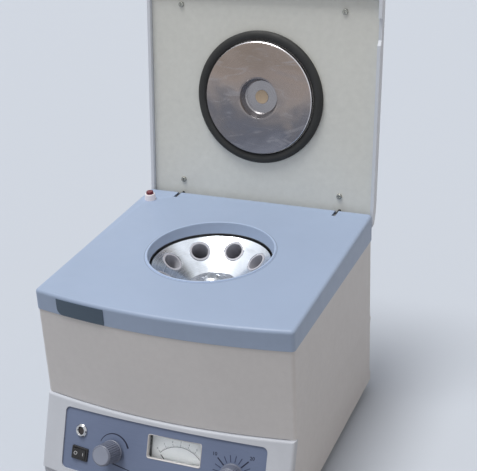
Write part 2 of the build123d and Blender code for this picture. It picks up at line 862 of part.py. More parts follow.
def make_bearings():
    top_seat = motor_top - motor_cap / 2
    low_seat = motor_bottom + motor_cap / 2
    outer = bearing_radius - fit_gap
    bearings = []
    for low in (top_seat - bearing_height, low_seat):
        bearings.append(motor_piece(ring(outer, shaft_radius + fit_gap, low, low + bearing_height)))
    return Compound(children=bearings)


def make_stator():
    low = motor_middle - stator_length / 2
    return motor_piece(ring(stator_outer, stator_inner, low, low + stator_length))


def make_armature():
    low = motor_middle - stator_length / 2
    core = ring(stator_inner - air_gap, shaft_radius + fit_gap, low, low + stator_length)
    cutter = Pos(stator_inner - air_gap, 0, motor_middle) * Box(2 * slot_depth, slot_width, BIG)
    for slot in range(armature_slots):
        core -= Rot(0, 0, slot * 360 / armature_slots) * cutter
    return motor_piece(core)


def plate_points():
    reach = motor_plate_depth / 2 - plate_hole_inset
    return at_corners(motor_plate_width / 2 - plate_hole_inset, (rotor_offset - reach, rotor_offset + reach))


def mount_points():
    reach = mount_circle * math.sqrt(0.5)
    return at_corners(reach, (rotor_offset - reach, rotor_offset + reach))


def make_motor_plate():
    top = guard_floor_height
    low = top - motor_plate_thickness
    outline = RectangleRounded(motor_plate_width, motor_plate_depth, plate_corner_radius)
    plate = upright(Pos(0, rotor_offset) * outline, low, top)
    plate -= disc(bearing_radius + 6, low - 1, top + 1, 0, rotor_offset)
    for x, y in mount_points() + plate_points():
        plate -= disc(bolt_radius + fit_gap, low - 1, top + 1, x, y)
    return plate


def make_posts():
    low = guard_floor_height - motor_plate_thickness
    posts = [disc(post_radius, pan_top, low, x, y)
             - disc(bolt_radius + fit_gap, low - bolt_post_depth, low + 1, x, y) for x, y in plate_points()]
    return Compound(children=posts)


def make_vibration_mounts():
    top = guard_floor_height - motor_plate_thickness
    return Compound(children=[ring(mount_radius, bolt_radius + fit_gap, motor_top, top, x, y)
                              for x, y in mount_points()])


def make_plate_bolts():
    """Cap screws that hold the motor, through its mounts, to the plate and the plate to its posts."""
    floor = guard_floor_height - motor_plate_thickness
    bolts = []
    for x, y in mount_points():
        bolts.append(disc(bolt_radius, motor_top, guard_floor_height - 0.2, x, y))
    for x, y in plate_points():
        bolts.append(disc(bolt_radius, floor - bolt_tip_depth, guard_floor_height - 0.2, x, y))
    return Compound(children=bolts)


# ---------------------------------------------------------------- base
def make_base_pan():
    rear_half = case_inner_side - running_gap
    front = console_plinth(console_wall + running_gap)
    rear_end = panel_inner_y
    rear_block = block(-rear_half, rear_half, front_y, rear_end, foot_height, plinth_top)
    outline = (front & block(-rear_half, rear_half, -BIG, front_y + 20, 0, BIG)) + rear_block
    low = outline & block(-BIG, BIG, -BIG, BIG, foot_height, pan_top)
    flanges = []
    for side in (-1, 1):
        x0, x1 = sorted((side * rear_half, side * (rear_half - pan_thickness)))
        flanges.append(block(x0, x1, foot_front, rear_end, foot_height, foot_height + pan_flange))
    flanges.append(block(-rear_half, rear_half, rear_end - pan_thickness, rear_end,
                         foot_height, foot_height + pan_flange))
    pan = low + flanges
    for x, y in board_points():
        pan += disc(standoff_radius, pan_top, pan_top + board_height, x, y)
    for x, y in at_corners(foot_x, (foot_front, foot_rear)):
        pan -= disc(bolt_radius + fit_gap, 0, pan_top + 1, x, y)
    for row in range(-pan_slots, pan_slots + 1):
        slot = SlotOverall(pan_slot_length, pan_slot_width)
        pan -= upright(Pos(0, rotor_offset + row * pan_slot_pitch) * slot, 0, pan_top + 1)
    return pan - rear_screw_holes()


def make_feet():
    feet = []
    for x, y in at_corners(foot_x, (foot_front, foot_rear)):
        foot = turned([(0, 0), (foot_radius - 2, 0), (foot_radius, foot_height), (0, foot_height)])
        foot -= disc(bolt_radius * 2.2, -1, foot_height / 2)
        foot -= disc(bolt_radius + fit_gap, 0, foot_height + 1)
        feet.append(Pos(x, y, 0) * foot)
    return Compound(children=feet)


def make_foot_screws():
    head_seat = foot_height / 2
    screws = []
    for x, y in at_corners(foot_x, (foot_front, foot_rear)):
        screw = disc(bolt_radius * 1.9, head_seat - 3, head_seat)
        screw += disc(bolt_radius, head_seat, pan_top)
        screw += disc(bolt_radius - running_gap - fit_gap, pan_top, pan_top + boss_height - 6)
        screws.append(Pos(x, y, 0) * screw)
    return screws


# ---------------------------------------------------------------- electrical parts inside
between_posts = motor_plate_width / 2 - plate_hole_inset - post_radius


def make_transformer():
    """A laminated core with its winding, on the pan between the posts, in front of the rear wall."""
    x1 = between_posts - core_side_gap
    y1 = panel_inner_y - rear_panel_thickness - core_rear_gap
    middle_x = x1 - core_width / 2
    middle_y = y1 - core_depth / 2
    core = block(x1 - core_width, x1, y1 - core_depth, y1, pan_top, pan_top + core_height)
    half_x = winding_width / 2
    half_y = winding_depth / 2
    low = pan_top + (core_height - winding_height) / 2
    winding = block(middle_x - half_x, middle_x + half_x, middle_y - half_y, middle_y + half_y,
                    low, low + winding_height)
    return core + winding


board_x = board_side_gap + board_width / 2 - between_posts
board_y = panel_inner_y - rear_panel_thickness - board_rear_gap - board_depth / 2


def board_points():
    half_x = board_width / 2 - board_hole_inset
    half_y = board_depth / 2 - board_hole_inset
    return [(board_x + sx * half_x, board_y + sy * half_y) for sx in (-1, 1) for sy in (-1, 1)]


def make_board():
    low = pan_top + board_height
    board = upright(Pos(board_x, board_y) * Rectangle(board_width, board_depth), low, low + board_thickness)
    for x, y in board_points():
        board -= disc(board_hole_radius, low - 1, low + 2 * board_thickness, x, y)
    return board


def make_board_parts():
    """A heat sink, two capacitors, a relay and a terminal block on the board."""
    base = pan_top + board_height + board_thickness
    left = board_x - board_width / 2 + 2 * board_hole_inset
    right = board_x + board_width / 2 - 2 * board_hole_inset
    front = board_y - board_depth / 2 + 0.5 * board_hole_inset
    rear = board_y + board_depth / 2 - 0.5 * board_hole_inset
    parts = [
        block(left, left + sink_width, rear - sink_depth, rear, base, base + sink_height),
        block(left, left + relay_width, front, front + relay_depth, base, base + relay_height),
        block(right - terminal_width, right, front, front + terminal_depth, base, base + terminal_height),
    ]
    for step in (1, 3.5):
        x = right - step * capacitor_radius
        parts.append(disc(capacitor_radius, base, base + capacitor_height, x, rear - capacitor_radius))
    return parts


# ---------------------------------------------------------------- panel instruments
panel_back = pocket_backing + overlay_thickness


def console_piece(x, s, shape):
    return console_frame(x, s).location * shape


def make_indicator_bezel():
    end = -panel_back - indicator_barrel
    outer = indicator_hole - fit_gap
    body = turned([(lens_bore, end), (outer, end), (outer, 0), (indicator_radius, 0), (indicator_radius, 1.2),
                   (indicator_radius - 1.4, indicator_rise), (indicator_radius - 2.6, indicator_rise),
                   (lens_bore, 1.6)])
    return console_piece(indicator_x, indicator_s, body)


def make_indicator_lens():
    lens = disc(lens_bore - fit_gap, 2 - panel_back - indicator_barrel, lens_rise)
    lens = fillet(lens.edges().sort_by(Axis.Z)[-1], lens_rise - 0.1)
    return console_piece(indicator_x, indicator_s, lens)


def make_indicator_nut():
    nut = extrude(RegularPolygon(indicator_nut_radius, 6), indicator_nut_height)
    nut -= disc(indicator_hole + fit_gap, -1, indicator_nut_height + 1)
    seat = -panel_back - indicator_nut_height - 4 * fit_gap
    return console_piece(indicator_x, indicator_s, Pos(0, 0, seat) * nut)


def make_switch_body():
    frame = extrude(RectangleRounded(rocker_frame_width, rocker_frame_height, 1.2), rocker_frame_rise)
    frame = fillet(frame.edges().group_by(Axis.Z)[-1], 0.7)
    inner_w = rocker_frame_width - 2 - 2 * fit_gap
    inner_h = rocker_frame_height - 2 - 2 * fit_gap
    body = Pos(0, 0, -switch_depth) * extrude(RectangleRounded(inner_w, inner_h, 0.5), switch_depth)
    well_w = rocker_width + 2 * running_gap
    well_h = rocker_height + 2 * running_gap
    well = Pos(0, 0, rocker_frame_rise) * Box(well_w, well_h, 2 * (rocker_depth + 3.0))
    tabs = (-tab_pitch, 0, tab_pitch)
    terminals = [Pos(dx, 0, -switch_depth - tab_length / 2) * Box(0.8, tab_width, tab_length) for dx in tabs]
    return console_piece(rocker_x, rocker_s, frame + body - well + terminals)


def make_rocker():
    """A V-topped key, drawn level and then tipped to its off side."""
    half = rocker_width / 2 - 0.5
    peak = rocker_frame_rise + 1.6
    dip = rocker_frame_rise + 0.3
    profile = Polyline((-half, peak), (0, dip), (half, peak), (half - 1.0, -1.0), (3.0, -rocker_depth + 1.6),
                       (-3.0, -rocker_depth + 1.6), (-half + 1.0, -1.0), (-half, peak))
    key = extrude(Plane.XZ * make_face(profile.edges()), rocker_height / 2 - 0.1, both=True)
    return console_piece(rocker_x, rocker_s, Rot(0, rocker_tilt, 0) * key)


def make_knob(height):
    """A fluted control knob standing on z = 0 with a recess for its cap."""
    grip_bottom = knob_flange + knob_flange_step
    body = turned([(0, running_gap), (knob_flange_radius, running_gap), (knob_flange_radius, knob_flange),
                   (knob_base_radius, grip_bottom), (knob_top_radius, height - knob_edge),
                   (knob_top_radius - knob_edge, height), (0, height)])
    grip = height - knob_edge - grip_bottom
    lean = math.degrees(math.atan2(knob_base_radius - knob_top_radius, grip))
    for flute in range(knob_flutes):
        rod = Cylinder(knob_flute_radius, height, align=(Align.CENTER, Align.CENTER, Align.MIN))
        place = Rot(0, 0, flute * 360 / knob_flutes) * Pos(knob_base_radius, 0, grip_bottom)
        body -= place * Rot(0, -lean, 0) * rod
    body -= disc(knob_cap_radius + fit_gap, height - knob_cap_depth, height + 1)
    body -= disc(spindle_radius + fit_gap, 0, height - knob_cap_depth - knob_crown)
    return body


def make_knob_cap(height):
    cap = disc(knob_cap_radius, height - knob_cap_depth, height + knob_cap_rise)
    return fillet(cap.edges().sort_by(Axis.Z)[-1], knob_cap_rise - fit_gap)


def make_spindle(reach, tip):
    return disc(spindle_radius, -reach, tip - knob_cap_depth - knob_crown)


def make_speed_knob():
    return Pos(0, 0, speed_knob_lift) * make_knob(speed_knob_height)


def make_speed_knob_cap():
    return Pos(0, 0, speed_knob_lift) * make_knob_cap(speed_knob_height)


def make_speed_pot():
    """The speed control behind the panel, and the nut that clamps its bushing in front."""
    back = -panel_back - pot_gap
    tip = panel_nut_lift + panel_nut_height + thread_proud
    pot = disc(pot_radius, back - pot_depth, back)
    pot += disc(bushing_radius, back, tip)
    half = pot_lead_width / 2
    low = back - pot_depth / 2
    for x in (-pot_lead_pitch, 0, pot_lead_pitch):
        pot += block(x - half, x + half, -pot_radius - pot_lead_length, 1 - pot_radius,
                     low, low + pot_lead_thickness)
    pot -= disc(spindle_radius + plunger_gap, back - pot_depth + pot_floor, tip + 1)
    nut = extrude(RegularPolygon(panel_nut_radius, 6), panel_nut_height)
    nut -= disc(bushing_radius + fit_gap, -1, panel_nut_height + 1)
    return console_piece(speed_x, knob_s, Compound(children=[pot, Pos(0, 0, panel_nut_lift) * nut]))


def make_timer_body():
    back = -panel_back - pot_gap
    body = extrude(RectangleRounded(timer_width, timer_height, timer_corner), timer_depth)
    body = Pos(0, 0, back - timer_depth) * body
    body += disc(bushing_radius, back, fit_gap)
    body -= disc(spindle_radius + plunger_gap, back - timer_depth + timer_floor, 1)
    return console_piece(timer_x, knob_s, body)


meter_back = meter_case_width ** 2 / (8 * bow_radius) + panel_back + 0.1
meter_centre_s = meter_case_top + meter_case_height / 2


def meter_box(width, height, near, far):
    """A block behind the panel centred on the meter case, between two depths."""
    offset = -(meter_centre_s - meter_s)
    return Pos(0, offset, -(near + far) / 2) * Box(width, height, far - near)


def make_meter_case():
    inner_w = meter_case_width - 2 * meter_case_wall
    inner_h = meter_case_height - 2 * meter_case_wall
    case = meter_box(meter_case_width, meter_case_height, meter_back, meter_case_depth)
    case -= meter_box(inner_w, inner_h, meter_back - 1, meter_case_depth - meter_case_wall)
    return console_piece(meter_x, meter_s, case)


def make_meter_glass():
    width = meter_case_width - 2 * meter_case_wall - 2 * fit_gap
    height = meter_case_height - 2 * meter_case_wall - 2 * fit_gap
    near = meter_back + 4 * fit_gap
    return console_piece(meter_x, meter_s, meter_box(width, height, near, near + glass_thickness))


def make_meter_dial():
    width = meter_case_width - 2 * meter_case_wall - 2 * fit_gap
    height = meter_case_height - 2 * meter_case_wall - 2 * fit_gap
    plate = meter_box(width, height, dial_depth, dial_depth + dial_thickness)
    pivot_y = -(needle_pivot_s - meter_s)
    plate -= Pos(0, pivot_y, -dial_depth) * Cylinder(5, 6)
    return console_piece(meter_x, meter_s, plate)


def make_meter_movement():
    """The coil carrier and magnet block behind the dial."""
    pivot_y = -(needle_pivot_s - meter_s)
    far = meter_case_depth - meter_case_wall - running_gap
    near = dial_depth + dial_thickness
    magnet = Pos(0, pivot_y + 8, -(near + far) / 2) * Box(34, 32, far - near)
    magnet -= Pos(0, pivot_y, 0) * Cylinder(8.5, BIG)
    magnet += Pos(0, pivot_y, -far + 1) * Cylinder(8.5, 2)
    return console_piece(meter_x, meter_s, magnet)


def make_needle():
    pivot_y = -(needle_pivot_s - meter_s)
    level = -(dial_depth - 2.5)
    pointer = Pos(0, needle_length / 2, level) * Box(0.7, needle_length, 0.5)
    tail = Pos(0, -4, level) * Box(1.6, 8, 0.5)
    low = -(meter_case_depth - meter_case_wall - 3)
    arbor = disc(4.2, low, level + 0.25)
    coil = disc(7.0, low, -(dial_depth + dial_thickness + 1.5))
    needle = Rot(0, 0, needle_sweep / 2) * (pointer + tail + arbor + coil)
    return console_piece(meter_x, meter_s, Pos(0, pivot_y, 0) * needle)


# ---------------------------------------------------------------- rear fittings
def rear_piece(x, z, shape):
    """A shape drawn with +Z out of the rear wall, placed on the wall's outer face."""
    return Plane((x, case_rear, z), x_dir=(-1, 0, 0), z_dir=(0, 1, 0)).location * shape


def make_power_inlet():
    flange = extrude(RectangleRounded(inlet_flange_width, inlet_flange_height, 3), inlet_flange)
    outer_w = inlet_cavity_width + 4
    outer_h = inlet_cavity_height + 4
    body = Pos(0, 0, -inlet_body_depth / 2) * Box(outer_w, outer_h, inlet_body_depth)
    floor = inlet_flange - inlet_cavity_depth
    cavity = Pos(0, 0, floor + inlet_cavity_depth / 2)
    cavity *= Box(inlet_cavity_width, inlet_cavity_height, inlet_cavity_depth)
    inlet = flange + body - cavity
    for dx, dy in ((-7, -2), (7, -2), (0, 3.5)):
        pin_height = inlet_cavity_depth - 5
        inlet += Pos(dx, dy, floor + pin_height / 2) * Box(4, 2, pin_height)
    for side in (-1, 1):
        inlet -= Pos(side * inlet_screw_offset, 0, 0) * Cylinder(inlet_screw_hole, 10)
    return rear_piece(inlet_x, inlet_z, inlet)


def make_fuse_holder():
    holder = disc(fuse_radius - 1.0 - fit_gap, -fuse_depth, 0) + disc(fuse_radius, 0, fuse_flange)
    cap = disc(fuse_radius - 1.4, fuse_flange, fuse_rise)
    cap = chamfer(cap.edges().sort_by(Axis.Z)[-1], 0.8)
    cap -= Pos(0, 0, fuse_rise) * Box(8, 1.2, 2)
    return rear_piece(fuse_x, inlet_z, holder + cap)


def make_rear_screws():
    screws = []
    for x, z in rear_screw_points():
        screw = pan_head(rear_screw_radius, rear_screw_head, rear_screw_shank, rear_screw_length)
        screws.append(rear_piece(x, z, screw))
    for side in (-1, 1):
        x = inlet_x + side * inlet_screw_offset
        screws.append(rear_piece(x, inlet_z, Pos(0, 0, inlet_flange) * pan_head(2.8, 1.8, 1.6, 8)))
    return screws


# ---------------------------------------------------------------- lid
panel_front = lid_recess
panel_rear_face = lid_recess + panel_thickness
ring_y = -lid_centre_from_rear


def in_lid(shape):
    """A shape drawn in the lid's own frame, moved to the open lid."""
    return lid_place * shape


def lid_outline(inset, radius):
    face = Rectangle(cover_width - 2 * inset, lid_length - 2 * inset)
    return Pos(0, -lid_length / 2, 0) * fillet(face.vertices(), radius)


def lid_profile(inset, floor=0.0):
    """The lid's side profile, set in by inset, as a prism across the whole lid.

    The outer face rolls off towards the hinge end along a quarter ellipse.
    """
    rise = lid_thickness - lid_end_height
    roll = EllipticalCenterArc((-lid_roll, lid_end_height), lid_roll - inset, rise - inset, 0, arc_size=90)
    top = lid_thickness - inset
    rest = Polyline((-lid_roll, top), (-lid_length + inset, top), (-lid_length + inset, floor),
                    (-inset, floor), (-inset, lid_end_height))
    return extrude(Plane.YZ * make_face(roll.edges() + rest.edges()), cover_width, both=True)


def is_lid_top_edge(edge):
    """True for the edges round the lid's outer face, without the seam where the roll-off starts."""
    box = edge.bounding_box()
    reaches_top = box.max.Z > lid_thickness - fit_gap and box.min.Z > fit_gap
    return reaches_top and abs(edge.center().Y + lid_roll) > fit_gap


def make_lid_shell():
    plain = Pos(0, -lid_length / 2, 0) * Rectangle(cover_width, lid_length)
    outline = fillet(plain.vertices().group_by(Axis.Y)[0], lid_corner_radius)
    shell = extrude(outline, lid_thickness) & lid_profile(0)
    upper_edges = [edge for edge in shell.edges() if is_lid_top_edge(edge)]
    shell = fillet(upper_edges, lid_edge_radius)
    hollow = extrude(lid_outline(lid_rim, lid_corner_radius - lid_rim), lid_thickness - lid_skin)
    shell -= hollow & lid_profile(lid_skin)
    for x, v in lid_screw_points():
        low = panel_rear_face + (arm_foot_thickness if v < lid_length / 2 else 0)
        shell += ring(lid_boss_radius, lid_boss_bore, low, lid_thickness - lid_skin, x, -v)
    sight = disc(sight_bore_radius, 0, lid_thickness + 1, 0, ring_y)
    shell -= sight
    deep = Polyline((notch_start, 0), (notch_start + notch_ramp, notch_depth),
                    (notch_start + notch_length, notch_depth), (notch_start + notch_length, -1),
                    (notch_start, -1), (notch_start, 0))
    notch_face = make_face(deep.edges())
    notch = Plane((half_width + 1, 0, 0), x_dir=(0, -1, 0), z_dir=(-1, 0, 0)) * notch_face
    shell -= extrude(notch, lid_rim + 2, dir=(-1, 0, 0))
    return in_lid(shell)


def lid_screw_points():
    return [(sx * lid_screw_spacing / 2, v) for sx in (-1, 1) for v in (lid_screw_rear, lid_screw_front)]


def make_lid_panel():
    face = lid_outline(lid_rim + running_gap, panel_corner_radius)
    panel = Pos(0, 0, panel_front) * extrude(face, panel_thickness) & lid_profile(lid_skin + running_gap)
    panel -= disc(cup_radius + 2, 0, lid_thickness, 0, ring_y)
    for side in (-1, 1):
        x = side * hinge_spacing / 2
        half = arm_thickness / 2 + slot_gap / 2
        reach = arm_width / 2 + slot_gap
        middle = hinge_in_lid.Y
        panel -= block(x - half, x + half, middle - reach, middle + reach, 0, lid_thickness)
    for x, v in lid_screw_points():
        panel -= disc(lid_screw_hole, 0, lid_thickness, x, -v)
    return in_lid(panel)


def make_lid_screws():
    screws = []
    for x, v in lid_screw_points():
        screw = Rot(180, 0, 0) * pan_head(3.4, 2.2, 1.5, panel_thickness + 3.0)
        screws.append(in_lid(Pos(x, -v, panel_front) * screw))
    return Compound(children=screws)


def make_lid_gasket():
    """A soft ring with a domed face, bonded to the panel around the disc."""
    width = gasket_outer_radius - gasket_inner_radius
    middle = (gasket_outer_radius + gasket_inner_radius) / 2
    top = panel_front - gasket_height
    shoulder = gasket_height * 0.55
    flat = Polyline((middle - width / 2, panel_front - shoulder), (middle - width / 2, panel_front),
                    (middle + width / 2, panel_front), (middle + width / 2, panel_front - shoulder))
    crown = ThreePointArc((middle + width / 2, panel_front - shoulder), (middle, top),
                          (middle - width / 2, panel_front - shoulder))
    section = Plane.XZ * make_face(flat.edges() + crown.edges())
    return in_lid(Pos(0, ring_y, 0) * revolve(section, Axis.Z))


def make_lid_disc():
    """A spun disc: rolled edge, shallow cone and a deep centre cup with a flat floor."""
    face = panel_front - disc_height
    edge_r = disc_radius
    shoulder = face + disc_dish
    floor = shoulder - disc_dish + cup_depth
    t = disc_sheet
    profile = [
        (edge_r, panel_front),
        (edge_r, face + t),
        (edge_r - t, face),
        (edge_r - 3 * t, face),
        (cup_radius + 2 * t, face + 0.4 * disc_dish),
        (cup_radius, face + 0.4 * disc_dish + t),
        (cup_floor_radius + 1.5, floor - 1.5),
        (cup_floor_radius, floor),
        (sight_plug_radius, floor),
        (sight_plug_radius, floor + t),
        (cup_floor_radius + 0.5, floor + t),
        (cup_floor_radius + 1.5 + t, floor - 1.5 + t),
        (cup_radius + t, face + 0.4 * disc_dish + 2 * t),
        (cup_radius + 3 * t, face + 0.4 * disc_dish + t),
        (edge_r - 3 * t, face + t),
        (edge_r - t, face + 2 * t),
        (edge_r - t, panel_front),
    ]
    return in_lid(Pos(0, ring_y, 0) * turned(profile))


def make_sight_plug():
    face = panel_front - disc_height
    floor = face + cup_depth
    plug = disc(sight_plug_radius - fit_gap, floor - 0.8, lid_thickness - lid_skin)
    plug = fillet(plug.edges().sort_by(Axis.Z)[0], 0.6)
    plug += disc(sight_bore_radius - fit_gap, lid_thickness - lid_skin, lid_thickness)
    return in_lid(Pos(0, ring_y, 0) * plug)


def make_hinge_arms():
    """Bent steel arms: an eye on the pin, a web through the panel and a foot behind it."""
    arms = []
    eye_y = hinge_in_lid.Y
    eye_z = hinge_in_lid.Z
    foot_low = panel_rear_face
    foot_high = panel_rear_face + arm_foot_thickness
    foot_end = -(lid_screw_rear + arm_foot_width / 2)
    for side in (-1, 1):
        x = side * hinge_spacing / 2
        eye = Plane((x, eye_y, eye_z), x_dir=(0, 1, 0), z_dir=(1, 0, 0))
        round_end = extrude(eye * Circle(arm_width / 2), arm_thickness / 2, both=True)
        half = arm_thickness / 2
        web = block(x - half, x + half, eye_y - arm_width / 2, eye_y + arm_width / 2, eye_z, foot_high)
        foot = block(x - arm_foot_width / 2, x + half, foot_end, eye_y + arm_width / 2, foot_low, foot_high)
        arm = (round_end + web + foot) & lid_profile(lid_skin + running_gap, -BIG)
        arm -= extrude(eye * Circle(hinge_pin_radius + fit_gap), arm_thickness, both=True)
        screw_x = side * lid_screw_spacing / 2
        arm -= disc(lid_screw_hole, foot_low - 1, foot_high + 1, screw_x, -lid_screw_rear)
        arms.append(in_lid(arm))
    return Compound(children=arms)


# ---------------------------------------------------------------- hinge brackets and interlock
def hinge_disc(x0, x1, radius):
    """A cylinder along X on the hinge axis."""
    plane = Plane((x0, hinge_y, hinge_height), x_dir=(0, 1, 0), z_dir=(1, 0, 0))
    return extrude(plane * Circle(radius), x1 - x0)


def make_hinge_brackets():
    """Clevis brackets on the inside of the cover's rear skirt; the back plate stops the arm."""
    brackets = []
    wall = rear_y - cover_wall
    stop = hinge_height - arm_width / 2 - 1.15
    ear_gap = arm_thickness / 2 + slot_gap
    for side in (-1, 1):
        x = side * hinge_spacing / 2
        plate = block(x - bracket_width / 2, x + bracket_width / 2, wall - bracket_thickness, wall,
                      stop - bracket_drop + arm_width, stop)
        body = plate
        for ear in (-1, 1):
            near = x + ear * ear_gap
            x0, x1 = sorted((near, near + ear * bracket_thickness))
            body += hinge_disc(x0, x1, bracket_ear_radius)
            body += block(x0, x1, hinge_y - bracket_ear_radius, wall, stop - arm_width / 2, hinge_height)
        body -= hinge_disc(x - bracket_width, x + bracket_width, hinge_pin_radius + fit_gap)
        brackets.append(body)
    return Compound(children=brackets)


def make_hinge_pins():
    reach = arm_thickness / 2 + slot_gap + bracket_thickness + 0.8
    return Compound(children=[hinge_disc(side * hinge_spacing / 2 - reach, side * hinge_spacing / 2 + reach,
                                         hinge_pin_radius) for side in (-1, 1)])


interlock_frame = deck_frame(interlock_x, interlock_y)


def make_interlock_housing():
    housing = turned([(0, 0), (interlock_base_radius, 0), (interlock_radius, interlock_height),
                      (0, interlock_height)])
    housing = fillet(housing.edges().sort_by(Axis.Z)[-1], interlock_edge)
    housing += disc(interlock_shank_radius, -interlock_shank, 0)
    housing -= disc(plunger_radius + plunger_gap, -interlock_shank - 1, interlock_height + 1)
    return interlock_frame.location * housing


def make_interlock_plunger():
    top = interlock_height + plunger_rise
    plunger = disc(plunger_radius, -interlock_shank + 2, top)
    plunger = fillet(plunger.edges().sort_by(Axis.Z)[-1], 1.2)
    plunger += disc(1.5, -interlock_shank - 1, -interlock_shank + 2)
    return interlock_frame.location * plunger


def make_interlock_switch():
    low = -interlock_shank - 1 - plunger_travel - running_gap
    body = Pos(0, 0, low - 5) * Box(20, 6.4, 10)
    body += Pos(0, 0, low - 13) * Box(16, 0.6, 6)
    bridge = Pos(0, 0, (low - interlock_shank) / 2) * Box(20, 2, 1)
    post = Pos(-8, 0, (low + -cover_skin) / 2) * Box(3, 6.4, -cover_skin - low)
    return interlock_frame.location * (body + post)


# ---------------------------------------------------------------- build and write
nodes = {
    "top_cover": make_top_cover(),
    "body_shell": make_body_shell(),
    "rear_panel": make_rear_panel(),
    "console_bezel": make_console(),
    "control_panel": make_control_panel(),
    "nameplate": make_nameplate(),
    "chamber_seal": make_chamber_seal(),
    "guard_ring": make_guard_ring(),
    "chamber_guard": make_chamber_guard(),
    "rotor_head": make_rotor_head(),
    "tube_sleeves": make_tube_sleeves(),
    "motor_shaft": make_motor_shaft(),
    "hub_disc": make_hub_disc(),
    "rotor_nut": make_rotor_nut(),
    "motor_can": motor_piece(ring(motor_radius, motor_radius - motor_wall, motor_bottom + motor_cap,
                                  motor_top - motor_cap)),
    "motor_end_caps": Compound(children=[make_motor_cap(motor_top - motor_cap, motor_top, True),
                                         make_motor_cap(motor_bottom, motor_bottom + motor_cap, False)]),
    "motor_bearings": make_bearings(),
    "motor_stator": make_stator(),
    "motor_armature": make_armature(),
    "motor_plate": make_motor_plate(),
    "frame_posts": make_posts(),
    "vibration_mounts": make_vibration_mounts(),
    "plate_bolts": make_plate_bolts(),
    "base_pan": make_base_pan(),
    "rubber_feet": make_feet(),
    "transformer": make_transformer(),
    "speed_board": Compound(children=[make_board()] + make_board_parts()),
    "indicator_bezel": make_indicator_bezel(),
    "indicator_lens": make_indicator_lens(),
    "indicator_nut": make_indicator_nut(),
    "switch_body": make_switch_body(),
    "power_rocker": make_rocker(),
    "speed_knob": console_piece(speed_x, knob_s, make_speed_knob()),
    "speed_knob_cap": console_piece(speed_x, knob_s, make_speed_knob_cap()),
    "speed_spindle": console_piece(speed_x, knob_s, make_spindle(
        panel_back + pot_gap + pot_depth - pot_floor - spindle_end_gap, speed_knob_lift + speed_knob_height)),
    "speed_pot": make_speed_pot(),
    "timer_knob": console_piece(timer_x, knob_s, make_knob(timer_knob_height)),
    "timer_knob_cap": console_piece(timer_x, knob_s, make_knob_cap(timer_knob_height)),
    "timer_spindle": console_piece(timer_x, knob_s, make_spindle(
        panel_back + pot_gap + timer_depth - timer_floor - spindle_end_gap, timer_knob_height)),
    "timer_body": make_timer_body(),
    "meter_case": make_meter_case(),
    "meter_glass": make_meter_glass(),
    "meter_dial": make_meter_dial(),
    "meter_movement": make_meter_movement(),
    "meter_needle": make_needle(),
    "power_inlet": make_power_inlet(),
    "fuse_holder": make_fuse_holder(),
    "case_screws": Compound(children=make_foot_screws() + make_rear_screws()),
    "lid_shell": make_lid_shell(),
    "lid_panel": make_lid_panel(),
    "lid_screws": make_lid_screws(),
    "lid_gasket": make_lid_gasket(),
    "lid_disc": make_lid_disc(),
    "sight_plug": make_sight_plug(),
    "hinge_arms": make_hinge_arms(),
    "hinge_brackets": make_hinge_brackets(),
    "hinge_pins": make_hinge_pins(),
    "interlock_housing": make_interlock_housing(),
    "interlock_plunger": make_interlock_plunger(),
    "interlock_switch": make_interlock_switch(),
}
for node, shape in nodes.items():
    save(shape, node)
print(len(nodes), "nodes written; lid swing", round(lid_swing, 3), "hinge", hinge_point)
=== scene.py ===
# %% [markdown]
# # A bench centrifuge with its lid open
# A dairy laboratory spins small glass tubes in this machine to part the fat from the milk. The
# engineering model already holds every solid part in its right place, in metres, with the bench
# at height zero and the front towards -Y. This lesson dresses it: paint, metal, rubber and
# print, plus the small things that are quicker to make as meshes.

import math

import bmesh
import bpy
from mathutils import Matrix, Vector


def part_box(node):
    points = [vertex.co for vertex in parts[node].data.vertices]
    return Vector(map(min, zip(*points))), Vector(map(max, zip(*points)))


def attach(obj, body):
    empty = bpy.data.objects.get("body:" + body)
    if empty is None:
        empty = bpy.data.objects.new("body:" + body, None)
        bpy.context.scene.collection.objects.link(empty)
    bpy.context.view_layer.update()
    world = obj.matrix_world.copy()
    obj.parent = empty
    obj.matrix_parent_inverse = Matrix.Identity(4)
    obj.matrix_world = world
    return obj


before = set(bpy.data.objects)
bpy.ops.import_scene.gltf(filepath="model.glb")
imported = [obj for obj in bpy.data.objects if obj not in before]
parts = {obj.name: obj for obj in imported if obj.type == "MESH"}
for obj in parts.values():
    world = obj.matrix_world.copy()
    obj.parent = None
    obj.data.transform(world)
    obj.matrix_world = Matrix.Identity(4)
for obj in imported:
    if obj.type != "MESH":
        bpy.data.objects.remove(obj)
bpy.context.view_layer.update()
MM = 0.001

# %% [markdown]
# ## Floor
# The machine stands on a bench. A bench could be modelled with an edge and legs, but a plain wide
# floor keeps the eye on the object and catches its shadow. Rays that only carry bounced light see
# a darker floor, so the bench does not wash the shaded walls with more light than a real one.

# %% Floor
def node_tree_of(owner):
    owner.use_nodes = True
    return owner.node_tree


